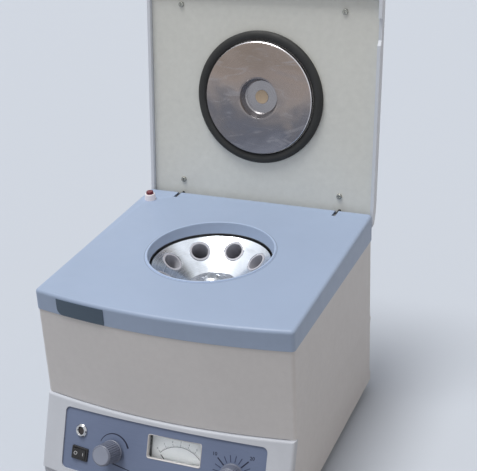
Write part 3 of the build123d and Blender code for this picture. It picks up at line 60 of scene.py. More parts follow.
def stage_floor(width, colour):
    """A wide square floor at bench height with a faint mottle."""
    mesh = bpy.data.meshes.new("floor")
    half = width / 2
    corners = [(-half, -half, 0), (half, -half, 0), (half, half, 0), (-half, half, 0)]
    mesh.from_pydata(corners, [], [(0, 1, 2, 3)])
    floor = bpy.data.objects.new("floor", mesh)
    bpy.context.collection.objects.link(floor)
    paper = bpy.data.materials.new("floor_paper")
    tree = node_tree_of(paper)
    shader = tree.nodes["Principled BSDF"]
    shader.inputs["Roughness"].default_value = 0.9
    mottle = tree.nodes.new("ShaderNodeTexNoise")
    mottle.inputs["Scale"].default_value = 3.0
    tones = tree.nodes.new("ShaderNodeValToRGB")
    tones.color_ramp.elements[0].color = [c * 0.98 for c in colour] + [1]
    tones.color_ramp.elements[1].color = list(colour) + [1]
    rays = tree.nodes.new("ShaderNodeLightPath")
    choose = tree.nodes.new("ShaderNodeMix")
    choose.data_type = "RGBA"
    choose.inputs["B"].default_value = [*FLOOR_BOUNCE, 1]
    tree.links.new(mottle.outputs["Fac"], tones.inputs["Fac"])
    tree.links.new(rays.outputs["Is Diffuse Ray"], choose.inputs["Factor"])
    tree.links.new(tones.outputs["Color"], choose.inputs["A"])
    tree.links.new(choose.outputs["Result"], shader.inputs["Base Color"])
    mesh.materials.append(paper)


FLOOR_COLOUR = (0.56, 0.60, 0.66)
FLOOR_BOUNCE = (0.30, 0.29, 0.28)
stage_floor(60.0, FLOOR_COLOUR)
print("floor laid")

# %% [markdown]
# ## Sky and lamp
# Three area lamps round the object would also do, but each would leave its own square in the
# steel. One large soft lamp high on the left shows paint best: the flat top is bright, the front
# sits in even half light and the right-hand wall falls off. The sky fills the shadows. Mirror rays
# see a pale sky, so the steel looks clean, and camera rays see one that meets the floor's own
# tone, so the background runs on evenly. The soft light itself comes from the fill alone. The
# lamp is kept weak enough that the pale top of the closed lid still shows its tone.

# %% Sky and lamp
SKY_FILL = 0.46
SKY_LEFT, SKY_RIGHT = (0.86, 0.94, 1.08), (1.06, 0.99, 0.94)
SKY_IN_MIRRORS = (0.90, 0.93, 0.97)
SKY_BEHIND = (0.69, 0.74, 0.81)
LAMP_STRENGTH = 2.2
LAMP_DIRECTION = Vector((0.22, 0.15, -1.0))
LAMP_SPREAD = math.radians(28)


def light_sky():
    """A pale sky that fills softly, with one face for mirrors and a calm one for the camera."""
    world = bpy.data.worlds.new("studio")
    bpy.context.scene.world = world
    tree = node_tree_of(world)
    fill = tree.nodes["Background"]
    fill.inputs["Strength"].default_value = SKY_FILL
    heading = tree.nodes.new("ShaderNodeTexCoord")
    split = tree.nodes.new("ShaderNodeSeparateXYZ")
    drift = tree.nodes.new("ShaderNodeMapRange")
    drift.inputs["From Min"].default_value = -1
    tints = tree.nodes.new("ShaderNodeMix")
    tints.data_type = "RGBA"
    tints.inputs["A"].default_value = [*SKY_LEFT, 1]
    tints.inputs["B"].default_value = [*SKY_RIGHT, 1]
    tree.links.new(heading.outputs["Generated"], split.inputs[0])
    tree.links.new(split.outputs["X"], drift.inputs["Value"])
    tree.links.new(drift.outputs["Result"], tints.inputs["Factor"])
    tree.links.new(tints.outputs["Result"], fill.inputs["Color"])
    rays = tree.nodes.new("ShaderNodeLightPath")
    shown = fill.outputs[0]
    for ray, colour in (("Is Glossy Ray", SKY_IN_MIRRORS), ("Is Transmission Ray", SKY_IN_MIRRORS),
                        ("Is Camera Ray", SKY_BEHIND)):
        face = tree.nodes.new("ShaderNodeBackground")
        face.inputs["Color"].default_value = (*colour, 1)
        choose = tree.nodes.new("ShaderNodeMixShader")
        tree.links.new(rays.outputs[ray], choose.inputs[0])
        tree.links.new(shown, choose.inputs[1])
        tree.links.new(face.outputs[0], choose.inputs[2])
        shown = choose.outputs[0]
    tree.links.new(shown, tree.nodes["World Output"].inputs["Surface"])


def hang_lamp():
    data = bpy.data.lights.new("soft_lamp", "SUN")
    data.energy = LAMP_STRENGTH
    data.angle = LAMP_SPREAD
    data.color = (1.0, 0.99, 0.97)
    lamp = bpy.data.objects.new("soft_lamp", data)
    lamp.rotation_euler = LAMP_DIRECTION.to_track_quat("-Z", "Y").to_euler()
    bpy.context.collection.objects.link(lamp)


light_sky()
hang_lamp()
bpy.context.scene.view_settings.view_transform = "Standard"
print("lit")

# %% [markdown]
# ## Camera
# A camera can be turned by hand until the view looks right, or placed from numbers. Numbers give
# the same view each time. The yaw and pitch point it from the front right and from above, and a
# small roll tips it, so the turn is built from three directions at right angles to each other.

# %% Camera
CAMERA_PLACE = Vector((0.45907, -0.9659, 0.74481))
CAMERA_YAW, CAMERA_PITCH, CAMERA_ROLL = math.radians(23.666), math.radians(24.488), -0.048422
FOCAL_PIXELS, IMAGE_WIDTH, SENSOR = 1034.15, 477, 36.0


def set_camera():
    """Stand where the machine is seen from the front right and from above."""
    ahead = Vector((-math.sin(CAMERA_YAW) * math.cos(CAMERA_PITCH),
                    math.cos(CAMERA_YAW) * math.cos(CAMERA_PITCH), -math.sin(CAMERA_PITCH)))
    level = Vector((math.cos(CAMERA_YAW), math.sin(CAMERA_YAW), 0))
    rise = level.cross(ahead)
    right = level * math.cos(CAMERA_ROLL) + rise * math.sin(CAMERA_ROLL)
    up = rise * math.cos(CAMERA_ROLL) - level * math.sin(CAMERA_ROLL)
    data = bpy.data.cameras.new("camera")
    data.sensor_width = SENSOR
    data.lens = FOCAL_PIXELS / IMAGE_WIDTH * SENSOR
    data.clip_end = 200
    camera = bpy.data.objects.new("camera", data)
    turn = Matrix((right, up, -ahead)).transposed().to_4x4()
    camera.matrix_world = Matrix.Translation(CAMERA_PLACE) @ turn
    bpy.context.collection.objects.link(camera)
    bpy.context.scene.camera = camera


set_camera()
print("camera lens", round(bpy.context.scene.camera.data.lens, 2), "mm")

# %% [markdown]
# ## Writing colours down
# Screens and eyes do not count light evenly, while a shader does. A colour could be typed as
# linear values, but those are hard to judge. Here painted and moulded colours are written as
# they are seen, from 0 to 255, and turned into linear values, so they can be changed by eye.

# %% Colours
def seen(red, green, blue):
    """A colour as seen on a screen, 0 to 255, as the linear values that a shader wants."""
    return [c / 255 / 12.92 if c <= 10 else ((c / 255 + 0.055) / 1.055) ** 2.4
            for c in (red, green, blue)]


def shade(colour, amount):
    """The same colour, darker below 1 and lighter above it."""
    return [min(1.0, c * amount) for c in colour]


print("mid grey in linear values", round(seen(128, 128, 128)[0], 3))

# %% [markdown]
# ## A small kit for finishes
# Every finish here starts from the same shader and differs in a few nodes: a noise that shifts
# the colour, a finer one that raises a grain, and an edge mask that lightens sharp corners, as
# wear and as a painted highlight. The nodes could be wired one by one for each material, but a
# short class keeps the steps readable.
# Its bump also rounds sharp edges in the shading, as real edges are never quite sharp.

# %% Finish kit
EDGE_SOFTNESS = 0.35


class Finish:
    """One material under construction, with short calls for the usual nodes."""

    def __init__(self, name, roughness, metallic=0.0, **sockets):
        self.material = bpy.data.materials.new(name)
        self.tree = node_tree_of(self.material)
        self.shader = self.tree.nodes["Principled BSDF"]
        self.set_socket("Roughness", roughness)
        self.set_socket("Metallic", metallic)
        for socket, value in sockets.items():
            self.set_socket(socket.replace("_", " "), value)
        self.place = self.add("ShaderNodeTexCoord").outputs["Object"]

    def set_socket(self, name, value):
        self.shader.inputs[name].default_value = value

    def add(self, kind, **settings):
        node = self.tree.nodes.new(kind)
        for name, value in settings.items():
            setattr(node, name, value)
        return node

    def join(self, source, target):
        self.tree.links.new(source, target)

    def noise(self, scale, detail=2.0, distortion=0.0, place=None):
        node = self.add("ShaderNodeTexNoise")
        node.inputs["Scale"].default_value = scale
        node.inputs["Detail"].default_value = detail
        node.inputs["Distortion"].default_value = distortion
        self.join(place or self.place, node.inputs["Vector"])
        return node.outputs["Fac"]

    def stretched(self, scale):
        """Coordinates scaled by a different amount along each axis."""
        node = self.add("ShaderNodeMapping")
        node.inputs["Scale"].default_value = scale
        self.join(self.place, node.inputs["Vector"])
        return node.outputs["Vector"]

    def ramp(self, factor, *stops):
        """A colour ramp from (position, colour) stops."""
        node = self.add("ShaderNodeValToRGB")
        elements = node.color_ramp.elements
        while len(elements) < len(stops):
            elements.new(0.5)
        for element, (position, colour) in zip(elements, stops):
            element.position = position
            element.color = [*colour, 1]
        self.join(factor, node.inputs["Fac"])
        return node.outputs["Color"]

    def blend(self, factor, first, second):
        node = self.add("ShaderNodeMix", data_type="RGBA")
        self.join(factor, node.inputs["Factor"])
        for value, socket in ((first, node.inputs["A"]), (second, node.inputs["B"])):
            if isinstance(value, (list, tuple)):
                socket.default_value = [*value, 1]
            else:
                self.join(value, socket)
        return node.outputs["Result"]

    def maths(self, operation, first, second=0.0):
        node = self.add("ShaderNodeMath", operation=operation)
        for value, socket in ((first, node.inputs[0]), (second, node.inputs[1])):
            if isinstance(value, (int, float)):
                socket.default_value = value
            else:
                self.join(value, socket)
        return node.outputs[0]

    def spread(self, factor, low, high):
        """Stretch a 0.3 to 0.7 noise onto low to high."""
        node = self.add("ShaderNodeMapRange")
        limits = (("From Min", 0.3), ("From Max", 0.7), ("To Min", low), ("To Max", high))
        for name, value in limits:
            node.inputs[name].default_value = value
        self.join(factor, node.inputs["Value"])
        return node.outputs["Result"]

    def worn_edges(self, reach):
        """A mask that is 1 on sharp outer edges, broken up by a noise."""
        geometry = self.add("ShaderNodeNewGeometry")
        lifted = self.maths("SUBTRACT", geometry.outputs["Pointiness"], 0.5)
        strong = self.maths("MULTIPLY", lifted, reach)
        broken = self.maths("MULTIPLY", strong, self.noise(140, 4))
        node = self.add("ShaderNodeClamp")
        self.join(broken, node.inputs["Value"])
        return node.outputs["Result"]

    def colour(self, source):
        self.join(source, self.shader.inputs["Base Color"])

    def rough(self, source):
        self.join(source, self.shader.inputs["Roughness"])

    def bump(self, height, depth):
        """Raise the surface by up to depth millimetres where height is 1, over softened edges."""
        soft = self.add("ShaderNodeBevel", samples=4)
        soft.inputs["Radius"].default_value = EDGE_SOFTNESS * MM
        node = self.add("ShaderNodeBump")
        node.inputs["Distance"].default_value = depth * MM
        self.join(soft.outputs["Normal"], node.inputs["Normal"])
        self.join(height, node.inputs["Height"])
        self.join(node.outputs["Normal"], self.shader.inputs["Normal"])


def dress(finish, *names):
    """Give a finish to engineering parts."""
    for name in names:
        slots = parts[name].data.materials
        slots.clear()
        slots.append(finish.material)


print("finish kit ready")

# %% [markdown]
# ## Sprayed enamel
# The case is painted: blue-grey on the cover, a cooler off-white on the console and a warmer one
# on the body and the lid's inner panel. The lid's shell has the body's paint made paler and
# bluer, a painted highlight for the light that its rounded rim catches. One flat colour would look
# like card, and an image of paint would blur close up. Nodes stay sharp at any distance, so a fine
# noise of about a millimetre gives the orange peel of sprayed paint, a broad one drifts the
# colour by a few percent, and a mask on the sharp edges lightens them, partly as rubbed wear and
# partly as a painted highlight.

# %% Enamel on the case
def enamel(name, colour, roughness=0.42, peel=0.012):
    paint = Finish(name, roughness, Specular_IOR_Level=0.42)
    drift = paint.noise(9, 4, 0.4)
    speck = paint.noise(1400, 1)
    tone = paint.ramp(drift, (0.3, shade(colour, 0.965)), (0.7, shade(colour, 1.02)))
    speckled = paint.blend(paint.spread(speck, 0.0, 0.05), tone, shade(colour, 0.6))
    # Sharp edges are lightened: rubbed wear, and a painted highlight where they catch the light.
    lightened = paint.blend(paint.worn_edges(5.0), speckled, shade(colour, 1.25))
    paint.colour(lightened)
    paint.rough(paint.spread(paint.noise(60, 3), roughness - 0.05, roughness + 0.06))
    paint.bump(paint.noise(620, 2), peel)
    return paint


COVER_BLUE = seen(157, 173, 198)
cover_paint = enamel("cover_blue_grey", COVER_BLUE)
body_paint = enamel("body_cream", seen(212, 210, 210))
console_paint = enamel("console_cream", seen(197, 201, 209))
# Painted highlight: the body's cream made paler and bluer for the light on the lid shell's rim.
shell_lit_paint = enamel("lid_shell_painted_highlight", seen(216, 221, 229))
lid_paint = enamel("lid_cream", seen(217, 218, 212))
dress(cover_paint, "top_cover")
dress(body_paint, "body_shell", "rear_panel")
dress(console_paint, "console_bezel")
dress(shell_lit_paint, "lid_shell")
dress(lid_paint, "lid_panel")
print("painted the case")

# %% [markdown]
# ## Bright metal
# Turned and spun steel carries fine rings around its own axis, and it is those rings that pull a
# highlight into a fan. They could be cut into the mesh, at the cost of a huge number of faces.
# Here they come from a noise read only by the distance from the axis, and the shader is told
# which way the rings run, so its gloss stretches across them. The bowl's colour also has soft,
# cooler, darker patches from a second, broad noise: a painted reflection of darker surroundings.

# %% Turned metal
def axis_frame(finish, centre, axis):
    """Distance from an axis, and the direction around it, at each point of the surface."""
    away = finish.add("ShaderNodeVectorMath", operation="SUBTRACT")
    finish.join(finish.place, away.inputs[0])
    away.inputs[1].default_value = centre
    around = finish.add("ShaderNodeVectorMath", operation="CROSS_PRODUCT")
    around.inputs[0].default_value = axis
    finish.join(away.outputs[0], around.inputs[1])
    distance = finish.add("ShaderNodeVectorMath", operation="LENGTH")
    finish.join(around.outputs[0], distance.inputs[0])
    tangent = finish.add("ShaderNodeVectorMath", operation="NORMALIZE")
    finish.join(around.outputs[0], tangent.inputs[0])
    return distance.outputs["Value"], tangent.outputs[0]


def cloudy(metal, colour):
    """One colour that drifts from a little darker to a little lighter."""
    stain = metal.noise(24, 4, 0.6)
    return metal.ramp(stain, (0.3, shade(colour, 0.86)), (0.7, shade(colour, 1.06)))


def cloth_worn(metal, colour):
    """Bright metal with soft, cooler, darker patches, a painted reflection of darker surroundings.
    """
    patch = metal.noise(38, 2, 0.4)
    dim_reflection, lighter_tone = shade(colour, 0.72), shade(colour, 0.92)
    return metal.ramp(patch, (0.34, dim_reflection), (0.50, lighter_tone), (0.64, colour))


def spun_metal(name, colour, roughness, centre, axis, stretch=0.6, ring_depth=0.004, colouring=cloudy):
    """Turned metal; film is the function that colours its surface."""
    metal = Finish(name, roughness, 1.0, Anisotropic=stretch)
    distance, around = axis_frame(metal, centre, axis)
    rings = metal.add("ShaderNodeTexNoise", noise_dimensions="1D")
    rings.inputs["Scale"].default_value = 2600
    rings.inputs["Detail"].default_value = 3
    metal.join(distance, rings.inputs["W"])
    metal.join(around, metal.shader.inputs["Tangent"])
    metal.colour(colouring(metal, colour))
    metal.rough(metal.spread(rings.outputs["Fac"], roughness * 0.8, roughness * 1.25))
    metal.bump(rings.outputs["Fac"], ring_depth)
    return metal


low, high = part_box("rotor_head")
ROTOR_AXIS = (low + high) / 2
UPRIGHT = (0, 0, 1)
bowl_steel = spun_metal("rotor_polish", (0.90, 0.94, 1.0), 0.24, ROTOR_AXIS, UPRIGHT, 0.3, 0.002,
                        cloth_worn)
hub_steel = spun_metal("hub_polish", (0.66, 0.68, 0.72), 0.30, ROTOR_AXIS, UPRIGHT, 0.4, 0.003)
dress(bowl_steel, "rotor_head")
dress(hub_steel, "hub_disc", "motor_shaft", "rotor_nut")
print("rotor axis", [round(v, 4) for v in ROTOR_AXIS])

# %% [markdown]
# ## Plated, cast and blackened metal
# Pins, screws, castings and the motor's can are not turned to a shine, so they need no rings. On
# the real machine they differ in plating: zinc is pale and a little yellow, nickel is bright,
# castings are grey and oxide is near black. Each could have nodes of its own, but one function
# with a broad cloud for tone and a fine grain for height serves them all, and a colour and a
# roughness tell them apart. A few of them are only seen when the case is taken apart.

# %% Plain metals
def plain_metal(name, colour, roughness, grain=(60, 60, 60), depth=0.004):
    metal = Finish(name, roughness, 1.0)
    cloud = metal.noise(1.0, 4, 0.5, metal.stretched(grain))
    fine = metal.noise(900, 2)
    metal.colour(metal.ramp(cloud, (0.3, shade(colour, 0.84)), (0.7, shade(colour, 1.05))))
    metal.rough(metal.spread(metal.noise(150, 3), roughness * 0.75, roughness * 1.3))
    metal.bump(fine, depth)
    return metal


zinc = plain_metal("zinc_plate", (0.62, 0.60, 0.53), 0.30)
chrome = plain_metal("bright_nickel", (0.55, 0.55, 0.56), 0.16, depth=0.001)
screw_metal = plain_metal("dull_zinc", (0.34, 0.34, 0.31), 0.26)
cast_metal = plain_metal("cast_aluminium", (0.50, 0.51, 0.54), 0.34)
black_steel = plain_metal("black_oxide_steel", (0.06, 0.06, 0.065), 0.42)
dress(cast_metal, "motor_end_caps", "frame_posts", "speed_pot")
dress(zinc, "guard_ring", "chamber_guard", "motor_plate", "plate_bolts", "base_pan", "case_screws",
      "indicator_nut", "hinge_brackets", "hinge_pins", "speed_spindle", "timer_spindle",
      "motor_bearings")
dress(chrome, "indicator_bezel")
dress(screw_metal, "lid_screws")
dress(black_steel, "motor_can", "meter_movement", "meter_needle", "hinge_arms", "motor_stator",
      "motor_armature", "transformer")
print("plain metals done")

# %% [markdown]
# ## The lip of the opening
# The raised lip round the opening gets a painted highlight, a lighter band where its rounded top
# catches the light, and painted shade, a dark line in the corner at its foot. A second material on
# a ring of faces would need the mesh to be cut. Both marks run in rings round the rotor's axis, so
# the cover's own paint needs only the distance from that axis: a ramp across it says where the
# painted highlight and the painted shade lie. They are laid over the paint that is already there,
# by taking the colour from its socket and blending.

# %% Painted highlight and shade on the lip
LIP_BORE, LIP_SPAN = 0.0732, 0.004
HIGHLIGHT_END, SHADE_END = 0.62, 0.9


def wiped_lip(paint, colour):
    """Lay a painted highlight ring and a painted shade line round the rotor's axis over a paint
    already made.
    """
    distance, _ = axis_frame(paint, ROTOR_AXIS, UPRIGHT)
    across = paint.maths("DIVIDE", paint.maths("SUBTRACT", distance, LIP_BORE), LIP_SPAN)
    none, some, full = (0, 0, 0), (0.6, 0.6, 0.6), (1, 1, 1)
    # The lighter ring is a painted highlight on the lip's rounded top; the dark line is painted
    # shade in the corner at its foot.
    lighter_tone = paint.ramp(across, (0.0, none), (0.08, full), (0.55, full), (HIGHLIGHT_END, none))
    shade_line = paint.ramp(across, (0.57, none), (0.66, some), (0.72, some), (SHADE_END, none))
    below = paint.shader.inputs["Base Color"].links[0].from_socket
    bright = paint.blend(lighter_tone, below, shade(colour, 1.22))
    paint.colour(paint.blend(shade_line, bright, shade(colour, 0.4)))


wiped_lip(cover_paint, COVER_BLUE)
# Printed spans: the painted highlight, then the painted shade line at the lip's foot.
highlight_to, shade_to = [round(LIP_BORE + end * LIP_SPAN, 4) for end in (HIGHLIGHT_END, SHADE_END)]
print("wiped from", LIP_BORE, "to", highlight_to, "m from the axis, dirt line to", shade_to)

# %% [markdown]
# ## The lid's axis
# The spun disc, its rubber ring and the sight plug share one axis, square to the lid. Its rings
# could be laid round an upright axis, but the open lid leans back a few degrees and they would
# come out as ovals. So the centre is read from the parts, as the middle of the ring's box, and
# the direction is worked out from the angle of the lean.

# %% Lid frame
LID_LEAN = math.radians(6.8)
LID_OUT = Vector((0, -math.cos(LID_LEAN), math.sin(LID_LEAN)))
low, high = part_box("lid_gasket")
DISC_CENTRE = (low + high) / 2
DISC_RADIUS, CUP_RADIUS, EDGE_WIDTH = 0.069, 0.0245, 0.0009
print("disc centre", [round(v, 4) for v in DISC_CENTRE])

# %% [markdown]
# ## Painted light on the disc
# The disc's colour carries painted light: a painted reflection, brown over its upper half and
# blue-grey below, broken by lighter streaks of the metal's own colour, a painted highlight on its
# edge and painted shade in the cup in the middle. It could be painted by hand on an image. Here a
# ramp runs up the disc, bent by a noise so that the two tones meet in a wavy line, and the edge
# and the cup come from the distance to the lid's axis.

# %% Disc painted light
def old_film(metal, colour):
    """Painted reflection brown above and blue-grey below, lighter streaks, painted highlight on
    the edge, painted shade in the cup.
    """
    split = metal.add("ShaderNodeSeparateXYZ")
    metal.join(metal.place, split.inputs[0])
    rise = metal.maths("SUBTRACT", split.outputs["Z"], DISC_CENTRE.z - DISC_RADIUS)
    share = metal.maths("DIVIDE", rise, 2 * DISC_RADIUS)
    smear = metal.noise(1.0, 2, 0.8, metal.stretched((18, 18, 26)))
    wavy = metal.maths("ADD", share, metal.spread(smear, -0.16, 0.16))
    # Painted reflection: blue-grey tones for the lower half, brown for the upper half.
    lower_reflection = (0.0, (0.24, 0.24, 0.27)), (0.18, (0.17, 0.17, 0.195)), (0.32, (0.19, 0.18, 0.19))
    upper_reflection = (0.55, (0.33, 0.28, 0.255)), (0.72, (0.36, 0.29, 0.25)), (1.0, (0.31, 0.245, 0.20))
    colouring = metal.ramp(wavy, *lower_reflection, *upper_reflection)
    streak = metal.noise(1.0, 5, 2.0, metal.stretched((26, 26, 90)))
    lightened = metal.ramp(streak, (0.56, (0, 0, 0)), (0.70, (0.32, 0.32, 0.32)))
    streaked = metal.blend(lightened, colouring, colour)
    distance, _ = axis_frame(metal, DISC_CENTRE, LID_OUT)
    # Painted shade in the cup, painted highlight on the outer edge.
    cup_shade_mask = metal.maths("LESS_THAN", distance, CUP_RADIUS)
    edge_highlight_mask = metal.maths("GREATER_THAN", distance, DISC_RADIUS - EDGE_WIDTH)
    edge_highlighted = metal.blend(edge_highlight_mask, streaked, shade(colour, 1.4))
    return metal.blend(cup_shade_mask, edge_highlighted, shade(colour, 0.72))


disc_steel = spun_metal("disc_spun_steel", (0.46, 0.44, 0.45), 0.24, DISC_CENTRE, LID_OUT, 0.75,
                        0.006, old_film)
dress(disc_steel, "lid_disc")
print("disc dressed, its cup", round(2 * CUP_RADIUS / MM, 1), "mm wide")

# %% [markdown]
# ## Rubber and mouldings
# Rubber is dark but never black, with a dusty bloom and a wide soft sheen. Moulded knobs and
# switches have a fine spark texture from the mould's wall. Both could have a shader of their
# own, but they differ only in numbers: a noise for tone, a finer noise for height and a
# roughness. So one function makes all of them, and the list below it reads like a parts list.

# %% Soft and moulded finishes
def moulded(name, colour, roughness, grain=700, depth=0.01, drift=0.06):
    plastic = Finish(name, roughness, Specular_IOR_Level=0.45)
    tone = plastic.noise(35, 3)
    darker, lighter = shade(colour, 1 - drift), shade(colour, 1 + drift)
    plastic.colour(plastic.ramp(tone, (0.3, darker), (0.7, lighter)))
    plastic.rough(plastic.spread(plastic.noise(90, 2), roughness - 0.05, roughness + 0.07))
    plastic.bump(plastic.noise(grain, 2), depth)
    return plastic


rubber = moulded("matte_rubber", seen(40, 40, 39), 0.62, 500, 0.02, 0.15)
dark_rubber = moulded("seal_rubber", seen(20, 20, 22), 0.5, 500, 0.02, 0.15)
sleeve_grey = moulded("sleeve_moulding", seen(184, 184, 191), 0.34, 900, 0.006)
# The knob's grey is a darker copy of its cap's: painted shade for the fluted sides that face away
# from the light.
knob_shaded_grey = moulded("knob_moulding_shaded", seen(118, 123, 139), 0.42, 900, 0.012)
cap_grey = moulded("knob_cap_moulding", seen(146, 152, 168), 0.38, 1500, 0.006)
black_plastic = moulded("switch_moulding", seen(34, 33, 35), 0.30, 1200, 0.006, 0.1)
white_plastic = moulded("button_housing", seen(244, 238, 241), 0.36)
red_plastic = moulded("button_cap", seen(106, 18, 32), 0.28)
amber_plastic = moulded("sight_plug_moulding", seen(214, 190, 160), 0.30)
dark_lens = moulded("indicator_lens_moulding", seen(52, 44, 44), 0.12, 1200, 0.002)
board_green = moulded("board_laminate", seen(30, 92, 60), 0.34)
card_white = moulded("dial_card", seen(243, 244, 244), 0.55, 1500, 0.002, 0.02)
dress(rubber, "lid_gasket", "rubber_feet", "vibration_mounts")
dress(dark_rubber, "chamber_seal")
dress(sleeve_grey, "tube_sleeves")
dress(knob_shaded_grey, "speed_knob", "timer_knob")
dress(cap_grey, "speed_knob_cap", "timer_knob_cap")
dress(black_plastic, "switch_body", "power_rocker", "power_inlet", "fuse_holder", "meter_case",
      "timer_body", "interlock_switch")
dress(white_plastic, "interlock_housing")
dress(red_plastic, "interlock_plunger")
dress(amber_plastic, "sight_plug")
dress(dark_lens, "indicator_lens")
dress(board_green, "speed_board")
dress(card_white, "meter_dial")
print("rubber and mouldings done")

# %% [markdown]
# ## Window, overlay and blank plate
# The meter's window is thin clear acrylic. Real acrylic bends light more than the value used
# here. A low one keeps the card behind it nearly undistorted and the mirrored sky on it faint.
# The control overlay is printed aluminium, a slate blue that hides a faint brushed grain, made
# by stretching one noise along the panel. The small plate on the cover's front is left blank.

# %% Window, overlay and plate
def clear_sheet(name):
    sheet = Finish(name, 0.03, Transmission_Weight=1.0, IOR=1.1)
    dust = sheet.noise(80, 3)
    sheet.colour(sheet.ramp(dust, (0.3, (0.97, 0.98, 0.98)), (0.7, (1.0, 1.0, 1.0))))
    return sheet


def printed_sheet(name, colour, roughness):
    sheet = Finish(name, roughness, Specular_IOR_Level=0.35)
    brushed = sheet.noise(1.0, 3, 0.0, sheet.stretched((8, 900, 900)))
    drift = sheet.noise(14, 3)
    base = sheet.ramp(drift, (0.3, shade(colour, 0.95)), (0.7, shade(colour, 1.04)))
    sheet.colour(sheet.blend(sheet.spread(brushed, 0.0, 0.22), base, shade(colour, 1.25)))
    sheet.bump(sheet.noise(1100, 2), 0.006)
    return sheet


overlay_blue = printed_sheet("overlay_slate_blue", seen(112, 124, 151), 0.45)
plate_dark = printed_sheet("blank_plate_dark", seen(74, 90, 106), 0.36)
dress(clear_sheet("clear_acrylic"), "meter_glass")
dress(overlay_blue, "control_panel")
dress(plate_dark, "nameplate")
print("sheets done")

# %% [markdown]
# ## Print on the control panel
# The overlay bows with the case, so a flat decal would sink in at one end. Every printed line is
# a thin ribbon whose points are placed on the bowed slope one by one: across the panel, down the
# slope and a hair above the surface. This cell writes that surface down once, as a function from
# panel millimetres to a point in space, and everything printed is laid with it.

# %% Points on the console
low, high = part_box("top_cover")
HALF_WIDTH, FRONT_Y, FRONT_BOW = high.x / MM, low.y / MM, 14.4
BOW_RADIUS = (HALF_WIDTH ** 2 + FRONT_BOW ** 2) / (2 * FRONT_BOW)
BOW_CENTRE_Y = FRONT_Y + BOW_RADIUS
CASE_INSET, CONSOLE_STEP, WAIST, OVERLAY_SINK = 0.8, 2.6, 104.8, 1.6
SLOPE = math.radians(21)
PRINT_LIFT = 0.05


def console_frame(x, s):
    """Point on the overlay x mm across and s mm down, with the directions across, up and out."""
    radius = BOW_RADIUS - CASE_INSET
    turn = math.asin(x / radius)
    y = BOW_CENTRE_Y - CONSOLE_STEP - math.sqrt(radius ** 2 - x ** 2)
    point = Vector((x, y - s * math.sin(SLOPE), WAIST - s * math.cos(SLOPE)))
    across = Vector((math.cos(turn), math.sin(turn), 0))
    out = across.cross(Vector((0, math.sin(SLOPE), math.cos(SLOPE)))).normalized()
    return point - out * OVERLAY_SINK, across, out.cross(across), out


def on_overlay(x, s, lift=0.0):
    """A point in metres on the bowed overlay, lifted off it by lift mm."""
    point, _, _, out = console_frame(x, s)
    return (point + out * lift) * MM


print("overlay middle", [round(v, 4) for v in on_overlay(0, 45)])

# %% [markdown]
# ## Tools for drawing in thin solids
# Print could be painted into the overlay's own colour, but then its edges would depend on the
# nodes' detail. Thin closed solids stay crisp and can be exported. A ribbon walks along a path
# with a width at each point, and a number is text turned into a mesh and laid the same way.

# %% Meshes, ribbons and lettering
def piece_from(name, points, faces, finish, body, smooth=False):
    """A mesh piece from points in metres, dressed and riding on a body."""
    mesh = bpy.data.meshes.new(name)
    mesh.from_pydata([tuple(p) for p in points], [], faces)
    mesh.validate()
    shape = bmesh.new()
    shape.from_mesh(mesh)
    bmesh.ops.recalc_face_normals(shape, faces=shape.faces)
    shape.to_mesh(mesh)
    shape.free()
    mesh.materials.append(finish.material)
    for face in mesh.polygons:
        face.use_smooth = smooth
    piece = bpy.data.objects.new(name, mesh)
    bpy.context.collection.objects.link(piece)
    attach(piece, body)
    print(name, "has", len(mesh.polygons), "faces and rides on", body)


class Shape:
    """Points and faces gathered for one piece."""

    def __init__(self):
        self.points, self.faces = [], []

    def strip(self, rows):
        """Join rows of points, each row a closed loop, into a solid strip with capped ends."""
        start, width = len(self.points), len(rows[0])
        for row in rows:
            self.points.extend(row)
        for r in range(len(rows) - 1):
            for c in range(width):
                a, b = start + r * width + c, start + r * width + (c + 1) % width
                self.faces.append((a, b, b + width, a + width))
        self.faces.append(tuple(start + c for c in reversed(range(width))))
        last = start + (len(rows) - 1) * width
        self.faces.append(tuple(last + c for c in range(width)))

    def ribbon(self, path, widths, lay, thick=PRINT_LIFT):
        """A printed line along flat (u, v) points, laid on a surface by the function lay."""
        rows = []
        for i, (u, v) in enumerate(path):
            before, after = path[max(0, i - 1)], path[min(len(path) - 1, i + 1)]
            along = Vector((after[0] - before[0], after[1] - before[1])).normalized()
            side = Vector((-along.y, along.x)) * widths[i] / 2
            rows.append([lay(u + side.x, v + side.y, thick), lay(u - side.x, v - side.y, thick),
                         lay(u - side.x, v - side.y, -thick), lay(u + side.x, v + side.y, -thick)])
        self.strip(rows)

    def letters(self, text, size, centre, lay, weight=0.0, thick=PRINT_LIFT):
        """Text as a thin solid, centred on a flat (u, v) point; weight fattens its strokes."""
        curve = bpy.data.curves.new("letters", "FONT")
        curve.body, curve.size, curve.extrude, curve.offset = text, size, thick, weight
        curve.align_x, curve.align_y = "CENTER", "CENTER"
        curve.resolution_u = 4
        maker = bpy.data.objects.new("letters", curve)
        bpy.context.collection.objects.link(maker)
        solid = maker.evaluated_get(bpy.context.evaluated_depsgraph_get())
        mesh = bpy.data.meshes.new_from_object(solid)
        start, (u, v) = len(self.points), centre
        self.points.extend(lay(u + dot.co.x, v - dot.co.y, dot.co.z) for dot in mesh.vertices)
        self.faces.extend(tuple(start + i for i in face.vertices) for face in mesh.polygons)
        bpy.data.objects.remove(maker)


def arc(centre, radius, first, last, steps):
    """Flat (x, s) points along an arc; angles in degrees, clockwise from straight up."""
    turns = [math.radians(first + (last - first) * i / steps) for i in range(steps + 1)]
    return [(centre[0] + radius * math.sin(t), centre[1] - radius * math.cos(t)) for t in turns]


print("drawing tools ready")

